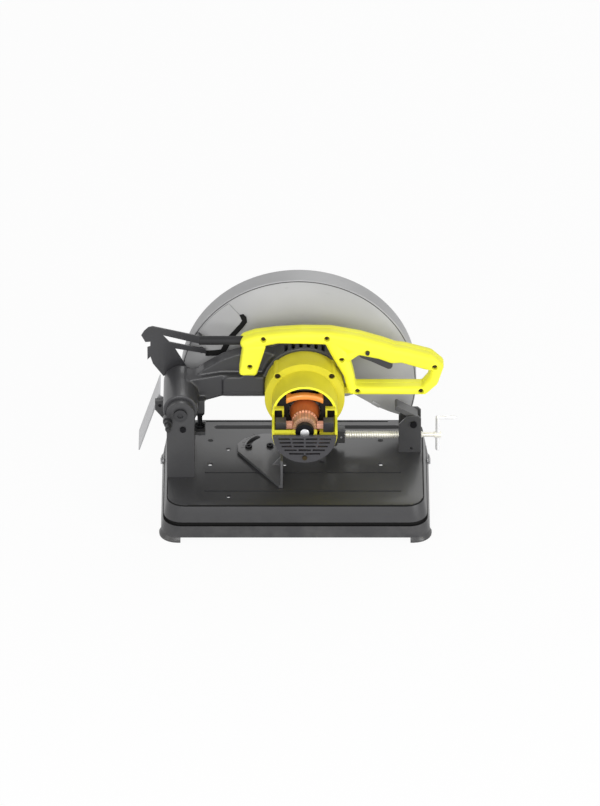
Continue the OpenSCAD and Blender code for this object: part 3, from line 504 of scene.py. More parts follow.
DARK_PAINT = Paint("dark_gloss_paint", "dark_paint", (0.028, 0.028, 0.030), 0.42, coat=0.2)
POST_PAINT = Paint("dark_post_paint", "dark_paint", (0.040, 0.040, 0.042), 0.36)
LEVER_PAINT = Paint("dark_lever_paint", "dark_paint", (0.090, 0.090, 0.093), 0.36)
# Painted sheen: the fence is the deck's dark paint, made lighter so that its colour stands in for
# its gloss.
FENCE_PAINT_SHEEN = Paint("dark_fence_paint", "dark_paint", (0.085, 0.085, 0.088), 0.36)
FOOT = Paint("dark_foot_paint", "black_rubber", (0.028, 0.028, 0.029), 0.38)
CASTING = Paint("dark_casting_paint", "dark_casting", (0.036, 0.036, 0.039), 0.38,
                peel=500.0, depth=0.00006, scuff=0.25)
SILVER = SheetMetal("silver_guard_sheet", "silver_paint", (0.39, 0.39, 0.394), 0.46, metal=0.18)
DEFLECTOR = SheetMetal("bright_deflector_sheet", "silver_paint", (0.46, 0.46, 0.47), 0.34,
                       along=Along.Z)
YELLOW = Moulding("lemon_yellow_plastic", "yellow_plastic", (0.98, 0.93, 0.055), 0.42, gloss=0.3)
# Painted shade: a darker copy of the handle's yellow plastic, for the motor housing and its inner
# ribs.
SHADED_YELLOW = Moulding("deep_yellow_plastic", "yellow_plastic", (0.70, 0.63, 0.04), 0.42, gloss=0.35)
BLACK = Moulding("black_plastic", "black_plastic", (0.016, 0.016, 0.017), 0.42)
GREY = Moulding("dark_grey_plastic", "black_plastic", (0.036, 0.035, 0.040), 0.42)
RUBBER = Moulding("black_rubber", "black_rubber", (0.012, 0.012, 0.013), 0.6,
                  grain=900.0, gloss=0.35)
# Black for painted shade: thin strips and layers in gaps, grooves and edges that are dark only
# from shade.
SHADE_BLACK = Moulding("black_seal_rubber", "black_rubber", (0.004, 0.004, 0.004), 0.7, gloss=0.2)
# Dark grey for a thin bead of painted shade along the crease between the guard's rim and its dish.
SEAM_SHADE_GREY = Moulding("grey_seam_sealant", "black_rubber", (0.085, 0.085, 0.086), 0.6, gloss=0.3)
COIL = Enamel("orange_coil_lacquer", "coil_lacquer", (1.0, 0.36, 0.065), 0.34, relief=0.15)
WINDING = Enamel("brown_winding_lacquer", "copper", (0.42, 0.10, 0.02), 0.42,
                 across=Along.X, pitch=0.0016, relief=0.5)
BARS = CopperBars("commutator_copper", "copper", (0.80, 0.46, 0.30), 0.34)
BRUSH = BareMetal("copper_brush", "copper", (0.86, 0.46, 0.34), 0.42, along=Along.X, metal=0.25)
BRIGHT = BareMetal("bright_screw_steel", "bright_steel", (0.84, 0.82, 0.74), 0.34,
                   along=Along.X, metal=0.45)
ZINC = BareMetal("crank_zinc", "bright_steel", (0.88, 0.88, 0.89), 0.34, along=Along.Z, metal=0.3)
SHAFT = BareMetal("ground_shaft_steel", "bright_steel", (0.84, 0.84, 0.85), 0.26, metal=0.7)
PIVOT = BareMetal("browned_shaft_steel", "bright_steel", (0.075, 0.075, 0.078), 0.42)
PLATED = BareMetal("zinc_plated_steel", "plated_steel", (0.48, 0.48, 0.49), 0.32, along=Along.Z)
BLACKED = BareMetal("blacked_steel", "plated_steel", (0.020, 0.020, 0.022), 0.42, along=Along.Z)
BRONZED = BareMetal("bronzed_screw_steel", "plated_steel", (0.060, 0.045, 0.024), 0.4)
IRON = BareMetal("laminated_iron", "plated_steel", (0.2, 0.2, 0.21), 0.42, streak=2600.0)
VARNISHED = BareMetal("varnished_iron", "plated_steel", (0.028, 0.027, 0.028), 0.5,
                      streak=2600.0, metal=0.4)


@dataclass(frozen=True)
class Recast:
    """How a copy gets the soft corners of a casting, a moulding or a lacquered bundle.

    Attributes:
        grain: size of the new mesh.
        passes: smoothing passes.
        keep: share of the faces that is kept.
        step: how far one pass moves a point towards its neighbours.
    """

    grain: float
    passes: int
    keep: float
    step: float = 0.5


class Workshop:
    """Hands out materials and puts finished pieces in place."""

    def __init__(self, frame: dict[str, Any]) -> None:
        """Keeps the loaded frame and an empty store of materials."""
        self.frame = frame
        self.made: dict[str, bpy.types.Material] = {}

    def material(self, finish: Finish) -> bpy.types.Material:
        """Looks up a finish's material, which is made once.

        Args:
            finish: the finish.

        Returns:
            Its material.
        """
        if finish.name not in self.made:
            self.made[finish.name] = finish.build()
        return self.made[finish.name]

    def dress(self, obj: bpy.types.Object, finish: Finish) -> None:
        """Gives an object its finish and smooth shading.

        Args:
            obj: a mesh object.
            finish: what it is made of.
        """
        obj.data.materials.clear()
        obj.data.materials.append(self.material(finish))
        pick(obj)
        bpy.ops.object.shade_smooth_by_angle(angle=SMOOTH)

    def nodes(self, finish: Finish, names: Iterable[str], ease: Ease = Ease.PLAIN,
              least: float = 0.0) -> None:
        """Stands a merged copy with rounded corners in each CAD node's place.

        Args:
            finish: what the pieces are made of.
            names: the CAD nodes.
            ease: width of the rounding.
            least: length of the shortest edge that is rounded.
        """
        for name in names:
            copy = self.merged(name)
            if ease is not Ease.NONE:
                rounded(copy, ease.value, sharp_edges(copy.data, least))
            self.stand_in(copy, name, finish)
            if ease is not Ease.NONE:
                flattened(copy)

    def stand_in(self, obj: bpy.types.Object, node: str, finish: Finish) -> None:
        """Puts a finished copy in its CAD node's place."""
        body = self.frame["nodes"][node]["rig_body"]
        self.settle(obj, node + "_skin", body, finish, (node,))

    def settle(self, obj: bpy.types.Object, name: str, body: str, finish: Finish,
               replaces: tuple[str, ...] = ()) -> None:
        """Names, dresses and hangs a new piece on its body.

        Args:
            obj: the finished mesh object.
            name: the piece's name.
            body: CAD body that it moves with.
            finish: what it is made of.
            replaces: CAD nodes that it stands for.
        """
        obj.name = name
        pick(obj)
        bpy.ops.object.transform_apply(location=True, rotation=True, scale=True)
        self.dress(obj, finish)
        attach(obj, body)
        if replaces:
            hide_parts(*replaces)
        log.info("%s rides on %s", name, body)

    def merged(self, node: str) -> bpy.types.Object:
        """Copies a CAD node and joins its loose triangles.

        Args:
            node: the CAD node.

        Returns:
            The new object.
        """
        copy = bpy.data.objects.new(node + "_merged", self.frame["nodes"][node].data.copy())
        bpy.context.scene.collection.objects.link(copy)
        pick(copy)
        if copy.data.has_custom_normals:
            bpy.ops.mesh.customdata_custom_splitnormals_clear()
        with editing(copy):
            bpy.ops.mesh.remove_doubles(threshold=CAD_WELD)
            bpy.ops.mesh.dissolve_limited(angle_limit=FLAT)
        return copy

    def cast(self, node: str, recast: Recast, finish: Finish) -> None:
        """Stands a copy with soft corners in a CAD node's place.

        Args:
            node: the CAD node.
            recast: how its corners are softened.
            finish: what it is made of.
        """
        copy = self.merged(node)
        modified(copy, "REMESH", mode="VOXEL", voxel_size=recast.grain)
        modified(copy, "SMOOTH", factor=recast.step, iterations=recast.passes)
        modified(copy, "DECIMATE", ratio=recast.keep)
        self.stand_in(copy, node, finish)


def pick(*objs: bpy.types.Object) -> None:
    """Selects only some objects and makes the first one active.

    Args:
        objs: the objects.
    """
    bpy.ops.object.select_all(action="DESELECT")
    for obj in objs:
        obj.select_set(True)
    bpy.context.view_layer.objects.active = objs[0]


@contextmanager
def editing(obj: bpy.types.Object) -> Iterator[None]:
    """Opens one object in edit mode with all of it selected, and closes it again.

    Args:
        obj: a mesh object.

    Yields:
        Nothing, while the object is open.
    """
    pick(obj)
    bpy.ops.object.mode_set(mode="EDIT")
    bpy.ops.mesh.select_all(action="SELECT")
    yield
    bpy.ops.object.mode_set(mode="OBJECT")


def modified(obj: bpy.types.Object, kind: str, **settings: Any) -> None:
    """Shapes a piece by one modifier and applies it.

    Args:
        obj: a mesh object.
        kind: the modifier's type.
        settings: the modifier's settings.
    """
    pick(obj)
    modifier = obj.modifiers.new(kind.lower(), kind)
    for key, value in settings.items():
        setattr(modifier, key, value)
    bpy.ops.object.modifier_apply(modifier=modifier.name)


def drop(obj: bpy.types.Object, part: MeshPart, unwanted: Callable[[Any], bool]) -> None:
    """Deletes some edges or faces of a piece.

    Args:
        obj: a mesh object.
        part: whether edges or faces are deleted.
        unwanted: says of each one whether it goes.
    """
    with editing(obj):
        bpy.ops.mesh.select_mode(type=part.name)
        bpy.ops.mesh.select_all(action="DESELECT")
    for item in getattr(obj.data, part.value):
        item.select = unwanted(item)
    bpy.ops.object.mode_set(mode="EDIT")
    bpy.ops.mesh.delete(type=part.name)
    bpy.ops.object.mode_set(mode="OBJECT")


def sharp_edges(mesh: bpy.types.Mesh, least: float) -> set[int]:
    """Finds the corners that a file would break.

    Args:
        mesh: a merged mesh.
        least: length of the shortest edge that counts.

    Returns:
        Numbers of the sharp edges.
    """
    sides: dict[tuple[int, int], list[Vector]] = {}
    for face in mesh.polygons:
        for key in face.edge_keys:
            sides.setdefault(key, []).append(face.normal)
    found = set()
    for edge in mesh.edges:
        low, high = (mesh.vertices[i].co for i in edge.vertices)
        pair = sides.get(edge.key, [])
        if len(pair) == 2 and (high - low).length >= least and pair[0].angle(pair[1], 0.0) > SHARP:
            found.add(edge.index)
    return found


def rounded(obj: bpy.types.Object, width: float, chosen: set[int], segments: int = 2) -> None:
    """Rounds the chosen edges of a merged piece.

    Args:
        obj: a merged mesh object.
        width: width of the rounding.
        chosen: numbers of the edges.
        segments: steps in the rounding.
    """
    weight = obj.data.attributes.new("bevel_weight_edge", "FLOAT", "EDGE")
    for edge in obj.data.edges:
        weight.data[edge.index].value = 1.0 if edge.index in chosen else 0.0
    modified(obj, "BEVEL", width=width, segments=segments, limit_method="WEIGHT",
             use_clamp_overlap=False)


def flattened(obj: bpy.types.Object) -> None:
    """Keeps flat faces flat to the eye beside their rounded corners."""
    modified(obj, "WEIGHTED_NORMAL", keep_sharp=True)


def lining(source: bpy.types.Object, chosen: FaceTest, wall: float) -> bpy.types.Object:
    """Makes a thin layer that lies on some faces of a piece.

    Args:
        source: the piece that carries the layer.
        chosen: says by a face's corners and normal whether the layer covers it.
        wall: thickness of the layer.

    Returns:
        The layer as a closed shell.
    """
    layer = copied(source, Matrix())
    points = layer.data.vertices
    drop(layer, MeshPart.FACE,
         lambda face: not chosen([points[i].co for i in face.vertices], face.normal))
    modified(layer, "SOLIDIFY", thickness=wall, offset=1.0)
    return layer


def outline(points: list[Vector], filled: bool = False) -> bpy.types.Object:
    """Draws a closed outline.

    Args:
        points: its corners in order.
        filled: whether it gets a face.

    Returns:
        The new object.
    """
    bpy.ops.object.select_all(action="DESELECT")
    bpy.ops.mesh.primitive_circle_add(vertices=len(points), radius=BLANK_R,
                                      fill_type="NGON" if filled else "NOTHING")
    obj = bpy.context.object
    for vertex, point in zip(obj.data.vertices, points):
        vertex.co = point
    return obj


def turned(profile: Profile, along: Along, at: Vector, steps: int) -> bpy.types.Object:
    """Turns a closed profile about an axis, as on a lathe.

    Args:
        profile: distance along the axis and radius of each point.
        along: direction of the axis.
        at: a point on the axis, where the distance is 0.
        steps: sides of the turned piece.

    Returns:
        The new object.
    """
    axis = Vector(along.value)
    side = axis.orthogonal().normalized()
    obj = outline([at + axis * run + side * radius for run, radius in profile])
    with editing(obj):
        bpy.ops.mesh.spin(steps=steps, angle=2 * math.pi, center=at, axis=axis)
        bpy.ops.mesh.select_all(action="SELECT")
        bpy.ops.mesh.remove_doubles(threshold=LATHE_WELD)
        bpy.ops.mesh.delete_loose(use_verts=True, use_edges=True, use_faces=False)
        bpy.ops.mesh.select_all(action="SELECT")
        bpy.ops.mesh.normals_make_consistent(inside=False)
    return obj


def block(low: Vector, high: Vector, ease: Ease) -> bpy.types.Object:
    """Makes a rectangular piece with rounded edges.

    Args:
        low: its lowest corner.
        high: its highest corner.
        ease: width of the rounding.

    Returns:
        The new object.
    """
    bpy.ops.object.select_all(action="DESELECT")
    bpy.ops.mesh.primitive_cube_add(size=1.0)
    obj = bpy.context.object
    size = Matrix.Diagonal((*(high - low), 1.0))
    obj.data.transform(Matrix.Translation((low + high) / 2) @ size)
    with editing(obj):
        bpy.ops.mesh.bevel(offset=ease.value, segments=2, affect="EDGES")
    return obj


def joined(parts: list[bpy.types.Object]) -> bpy.types.Object:
    """Joins objects into the first one.

    Args:
        parts: the objects.

    Returns:
        The one object that is left.
    """
    pick(*parts)
    bpy.ops.object.join()
    return bpy.context.object


def copied(source: bpy.types.Object, matrix: Matrix) -> bpy.types.Object:
    """Copies an object, with a mesh of its own, and moves the copy.

    Args:
        source: the object.
        matrix: how the copy is moved.

    Returns:
        The copy.
    """
    made = source.copy()
    made.data = source.data.copy()
    made.data.transform(matrix)
    bpy.context.scene.collection.objects.link(made)
    return made


@dataclass
class Base:
    """Pressed base with its feet, the pivot post and small fasteners.

    Attributes:
        deck_z: top of the deck.
        rim: width of the rounding between the deck and the walls.
        rim_steps: steps in that rounding.
        straight: half lengths of the deck outline's straight runs, in x and y.
        corner_r: radius of the deck outline's corners.
        slack: how far an edge may lie from that outline.
        slope: least and greatest upward part of a normal on the deck's rounding.
        groove: lowest and highest z of the groove round the base.
        groove_flat: least upward or downward part of a normal on the groove's sides.
        groove_layer: thickness of the black layer of painted shade in the groove.
        edge_layer: thickness of the black layer of painted shade on the deck's rim.
    """

    deck_z: float = 0.065
    rim: float = 0.0022
    rim_steps: int = 3
    straight: tuple[float, float] = (0.179, 0.102)
    corner_r: float = 0.030
    slack: float = 0.0006
    slope: tuple[float, float] = (0.2, 0.97)
    groove: tuple[float, float] = (0.0279, 0.0351)
    groove_flat: float = 0.9
    groove_layer: float = 0.0003
    edge_layer: float = 0.0001

    def build(self, shop: Workshop) -> None:
        """Dresses the base, rounds the deck's rim and lines the groove.

        Args:
            shop: makes and places the pieces.
        """
        pan = shop.merged("base_pan")
        rim = {edge.index for edge in pan.data.edges if self.on_rim(pan.data, edge)}
        rounded(pan, self.rim, rim, self.rim_steps)
        # Painted shade: a thin black layer darkens the floor and sides of the groove.
        groove = lining(pan, self.in_groove, self.groove_layer)
        shop.settle(groove, "base_groove_lining", "base", SHADE_BLACK)
        # Painted shade: a thin black layer on the rounding between the deck and the walls draws a
        # dark line along the deck's edge.
        edge = lining(pan, self.at_edge, self.edge_layer)
        shop.settle(edge, "deck_edge_lining", "base", SHADE_BLACK)
        shop.stand_in(pan, "base_pan", DARK_PAINT)
        shop.nodes(FOOT, ["base_feet"], Ease.FINE)
        shop.nodes(POST_PAINT, ["pivot_bracket"], Ease.LIGHT, LONG)
        shop.nodes(PLATED, ["base_side_bolts", "deck_nuts", "pivot_nut"], Ease.FILED, LONG)
        shop.nodes(PLATED, ["return_spring"], Ease.NONE)
        shop.nodes(BLACKED, ["pivot_bracket_bolts", "depth_stop_bolt", "depth_stop_nut"],
                   Ease.FILED, LONG)
        shop.nodes(BLACKED, ["bracket_screws"])
        shop.nodes(PIVOT, ["pivot_shaft"])
        shop.nodes(BLACK, ["lock_pin"])
        shop.nodes(DEFLECTOR, ["spark_deflector"], Ease.NONE)

    def in_groove(self, corners: list[Vector], normal: Vector) -> bool:
        """Says whether a face is the floor or a side of the groove round the base.

        Args:
            corners: the face's corners.
            normal: its normal.

        Returns:
            True in the groove.
        """
        outward = normal.x * corners[0].x + normal.y * corners[0].y
        inside = all(self.groove[0] < corner.z < self.groove[1] for corner in corners)
        return inside and (abs(normal.z) > self.groove_flat or outward > 0)

    def at_edge(self, corners: list[Vector], normal: Vector) -> bool:
        """Says whether a face lies on the rounding between the deck and the walls.

        Args:
            corners: the face's corners.
            normal: its normal.

        Returns:
            True on the rounding.
        """
        low, high = self.deck_z - self.rim * 1.1, self.deck_z + LEVEL  # just past the rounding
        inside = all(low < corner.z < high for corner in corners)
        return inside and self.slope[0] < normal.z < self.slope[1]

    def on_rim(self, mesh: bpy.types.Mesh, edge: bpy.types.MeshEdge) -> bool:
        """Says whether an edge is on the deck's outline, away from its holes and grooves.

        Args:
            mesh: the base pan's mesh.
            edge: one of its edges.

        Returns:
            True on the outline.
        """
        ends = [mesh.vertices[i].co for i in edge.vertices]
        middle = (ends[0] + ends[1]) / 2
        dx = max(abs(middle.x) - self.straight[0], 0.0)
        dy = max(abs(middle.y) - self.straight[1], 0.0)
        level = all(abs(end.z - self.deck_z) < LEVEL for end in ends)
        return level and abs(math.hypot(dx, dy) - self.corner_r) < self.slack


@dataclass
class FenceScale:
    """Plain marks pressed around the fence's arc slot.

    Attributes:
        pivot: the fence's pivot.
        plate_z: top of the fence's foot plate.
        count: number of marks.
        inner_r: distance of their inner ends from the pivot.
        first: direction of the first mark, degrees.
        step: turn from mark to mark, degrees.
        every: one mark in so many is long.
        long: length of a long mark.
        short: length of a short mark.
        foot: width of a mark at its foot.
        top: width of a mark at its top, and what its top loses in length.
        rise: height of a mark over the plate.
        sink: depth of its foot in the plate.
    """

    pivot: Triple = (-0.0418, 0.0405, 0.0)
    plate_z: float = 0.0704
    count: int = 10
    inner_r: float = 0.0415
    first: float = 126.0
    step: float = 6.5
    every: int = 3
    long: float = 0.006
    short: float = 0.0035
    foot: float = 0.0007
    top: float = 0.0004
    rise: float = 0.00018
    sink: float = 0.0001

    def build(self) -> bpy.types.Object:
        """Makes the marks.

        Returns:
            All the marks as one object.
        """
        parts = []
        for i in range(self.count):
            length = self.short if i % self.every else self.long
            turn = Matrix.Rotation(math.radians(self.first + i * self.step), 4, "Z")
            bpy.ops.object.select_all(action="DESELECT")
            bpy.ops.mesh.primitive_cube_add(size=1.0)
            mark = bpy.context.object
            for vertex in mark.data.vertices:
                top = vertex.co.z > 0
                reach = vertex.co.x * (length - (self.top if top else 0))
                vertex.co.x = self.inner_r + length / 2 + reach
                vertex.co.y *= self.top if top else self.foot
                vertex.co.z = self.plate_z + (self.rise if top else -self.sink)
            mark.data.transform(Matrix.Translation(self.pivot) @ turn)
            parts.append(mark)
        return joined(parts)


@dataclass
class ViseScrew:
    """Vise screw with a tip that turns in the jaw, a real thread and the crank's hub.

    Attributes:
        at: the point on its axis where x is 0.
        radius: outer radius of the thread.
        depth: depth of the thread.
        pitch: distance from turn to turn.
        crest: distances along one turn where its crest starts and ends and its root starts.
        start: x where the thread starts.
        end: x where the thread ends.
        lead_in: how far the tip covers the thread's second turn.
        run_out: how far the hub's core reaches into the thread's last turn but one.
        play: gap between that core and the thread's root.
        tip: x and radius of the tip's points.
        taper: length between the thread's end and the neck.
        neck_r: radius of the neck.
        hub_at: x where the hub starts.
        hub_r: radius of the hub.
        hub_length: length of the hub.
        chamfer: width of the hub's chamfers.
        sides: sides of the tip and the hub.
        turn_steps: steps in one turn of the thread.
        merge: distance within which the turns are joined while they are made.
        weld: distance within which they are joined afterwards.
    """

    at: Vector = field(default_factory=lambda: Vector((0.0, 0.046, 0.090)))
    radius: float = 0.006
    depth: float = 0.0007
    pitch: float = 0.004
    crest: Triple = (0.0009, 0.0023, 0.0032)
    start: float = 0.083
    end: float = 0.2074
    lead_in: float = 0.0003
    run_out: float = 0.0006
    play: float = 0.0001
    tip: Profile = ((0.066, 0.0), (0.066, 0.0046), (0.0664, 0.005), (0.073, 0.005),
                    (0.073, 0.0036), (0.077, 0.0036), (0.077, 0.005), (0.082, 0.005),
                    (0.082, 0.0055), (0.0826, 0.006))
    taper: float = 0.0013
    neck_r: float = 0.004
    hub_at: float = 0.2268
    hub_r: float = 0.0055
    hub_length: float = 0.012
    chamfer: float = 0.0006
    sides: int = 40
    turn_steps: int = 24
    merge: float = 0.00002
    weld: float = 0.00001

    def build(self) -> bpy.types.Object:
        """Makes the whole screw.

        Returns:
            Tip, hub and thread as one object.
        """
        first = self.start + self.pitch + self.lead_in
        last = self.end - self.pitch - self.run_out
        core = self.radius - self.depth - self.play
        tail, edge_r = self.hub_at + self.hub_length, self.hub_r - self.chamfer
        tip = (*self.tip, (first, self.radius), (first, 0.0))
        hub = ((last, 0.0), (last, core), (self.end, core), (self.end + self.taper, self.neck_r),
               (self.hub_at, self.neck_r), (self.hub_at, edge_r),
               (self.hub_at + self.chamfer, self.hub_r), (tail - self.chamfer, self.hub_r),
               (tail, edge_r), (tail, 0.0))
        return joined([turned(tip, Along.X, self.at, self.sides),
                       turned(hub, Along.X, self.at, self.sides), self.thread()])

    def thread(self) -> bpy.types.Object:
        """Winds the profile of one turn along the screw.

        Returns:
            The thread, closed at both ends.
        """
        root = self.radius - self.depth
        rise, fall, foot = self.crest
        profile = ((0.0, root), (rise, self.radius), (fall, self.radius), (foot, root),
                   (self.pitch, root))
        ridge = outline([Vector((x, 0.0, radius)) for x, radius in profile])
        ends = {0, len(profile) - 1}
        drop(ridge, MeshPart.EDGE, lambda edge: set(edge.vertices) == ends)
        modified(ridge, "SCREW", axis="X", screw_offset=self.pitch,
                 iterations=int((self.end - self.start) / self.pitch) - 1,
                 steps=self.turn_steps, render_steps=self.turn_steps,
                 use_merge_vertices=True, merge_threshold=self.merge)
        ridge.data.transform(Matrix.Translation(self.at + Vector((self.start, 0.0, 0.0))))
        with editing(ridge):
            bpy.ops.mesh.remove_doubles(threshold=self.weld)
            bpy.ops.mesh.fill_holes(sides=0)
            bpy.ops.mesh.normals_make_consistent(inside=False)
        return ridge


@dataclass
class FenceAndVise:
    """Swinging fence with its scale, and the screw vise.

    Attributes:
        scale: the fence's scale.
        screw: the vise's screw.
    """

    scale: FenceScale = field(default_factory=FenceScale)
    screw: ViseScrew = field(default_factory=ViseScrew)

    def build(self, shop: Workshop) -> None:
        """Dresses the fence and vise and adds scale marks and thread.

        Args:
            shop: makes and places the pieces.
        """
        shop.nodes(FENCE_PAINT_SHEEN, ["fence"])
        shop.nodes(POST_PAINT, ["vise_bracket", "vise_jaw", "jaw_yoke"], Ease.FILED, LONG)
        shop.nodes(LEVER_PAINT, ["vise_lever"], Ease.FILED, LONG)
        shop.nodes(BLACKED, ["fence_bolts", "lever_bolt"])
        shop.nodes(PLATED, ["vise_bracket_bolts"], Ease.FILED, LONG)
        shop.nodes(PLATED, ["jaw_pin"])
        shop.nodes(ZINC, ["crank_rod"])
        shop.settle(self.scale.build(), "fence_scale_marks", "fence", BLACKED)
        shop.settle(self.screw.build(), "vise_screw_thread", "screw", BRIGHT, ("vise_screw",))


@dataclass
class Head:
    """Arm, gear case, guard and rear bracket.

    Attributes:
        casting: how the arm's corners are softened.
        seam_r: radius of the bead between the guard's rim and its dished face.
        seam_y: its place along the spindle.
        bead: radius of the bead's round.
        bead_sides: sides of that round.
        seam_steps: steps of the bead round the spindle.
        seam_ends: where the bead ends at the guard's lower edges.
        clip_at: middle of the clip on the guard's lower edge.
        clip_half: half of the clip's size.
        clip_turn: slope of the clip, degrees.
        rib_low: lowest corner of the lower rib on the arm's plate.
        rib_high: its highest corner.
        rib_step: distance to the upper rib.
    """

    casting: Recast = Recast(0.0014, 8, 0.4)
    seam_r: float = 0.191
    seam_y: float = 0.0915
    bead: float = 0.0008
    bead_sides: int = 8
    seam_steps: int = 144
    seam_ends: tuple[Vector, Vector] = (Vector((-0.184, 0, 0.1905)), Vector((0.1835, 0, 0.0967)))
    clip_at: Triple = (0.1315, 0.0682, 0.1345)
    clip_half: Triple = (0.0075, 0.0011, 0.00325)
    clip_turn: float = 33.3
    rib_low: Triple = (-0.1165, 0.0102, 0.1872)
    rib_high: Triple = (-0.0522, 0.0114, 0.1888)
    rib_step: float = 0.0046

    def build(self, shop: Workshop) -> None:
        """Dresses the castings and the sheet metal and adds their trim.

        Args:
            shop: makes and places the pieces.
        """
        shop.cast("arm_casting", self.casting, CASTING)
        shop.nodes(CASTING, ["gear_cover"])
        shop.nodes(CASTING, ["rear_bracket"], Ease.SOFT, LONG)
        shop.nodes(SILVER, ["wheel_guard", "guard_panel"], Ease.NONE)
        shop.nodes(SILVER, ["guard_cover"], Ease.FILED, LONG)
        # Painted shade: the black strip fills the dark gap between the guard's panel and its face.
        shop.nodes(SHADE_BLACK, ["panel_seal"], Ease.NONE)
        shop.nodes(PLATED, ["guard_screws", "inner_flange", "outer_flange", "spindle_bearings"])
        shop.nodes(PLATED, ["wheel_bolt"], Ease.FILED, LONG)
        shop.nodes(SHAFT, ["spindle"])
        shop.nodes(IRON, ["drive_gear"], Ease.NONE)
        shop.settle(self.clip(), "guard_edge_clip", "head", DEFLECTOR)
        shop.settle(self.ribs(), "arm_plate_ribs", "head", CASTING)
        # Painted shade: a dark bead along the crease between the guard's rim and its dish.
        shop.settle(self.seam(), "guard_seam_bead", "head", SEAM_SHADE_GREY)

    def clip(self) -> bpy.types.Object:
        """Makes the small bright clip on the guard's lower edge.

        Returns:
            The clip.
        """
        half = Vector(self.clip_half)
        clip = block(-half, half, Ease.FILED)
        turn = Matrix.Rotation(math.radians(self.clip_turn), 4, "Y")
        clip.data.transform(Matrix.Translation(self.clip_at) @ turn)
        return clip

    def ribs(self) -> bpy.types.Object:
        """Two thin cast ribs along the foot of the arm's front plate, as one object."""
        first = block(Vector(self.rib_low), Vector(self.rib_high), Ease.LIGHT)
        return joined([first, copied(first, Matrix.Translation((0, 0, self.rib_step)))])

    def seam(self) -> bpy.types.Object:
        """Makes the thin bead between the guard's rim and its dished face.

        Returns:
            The bead, cut off at the guard's lower edges.
        """
        turns = [2 * math.pi * i / self.bead_sides for i in range(self.bead_sides)]
        ring = tuple((self.seam_y + self.bead * math.sin(turn),
                      self.seam_r + self.bead * math.cos(turn)) for turn in turns)
        bead = turned(ring, Along.Y, SPINDLE, self.seam_steps)
        run = self.seam_ends[1] - self.seam_ends[0]
        below = Vector((run.z, 0, -run.x)).normalized()
        with editing(bead):
            bpy.ops.mesh.bisect(plane_co=self.seam_ends[0], plane_no=below,
                                use_fill=True, clear_outer=True)
        return bead


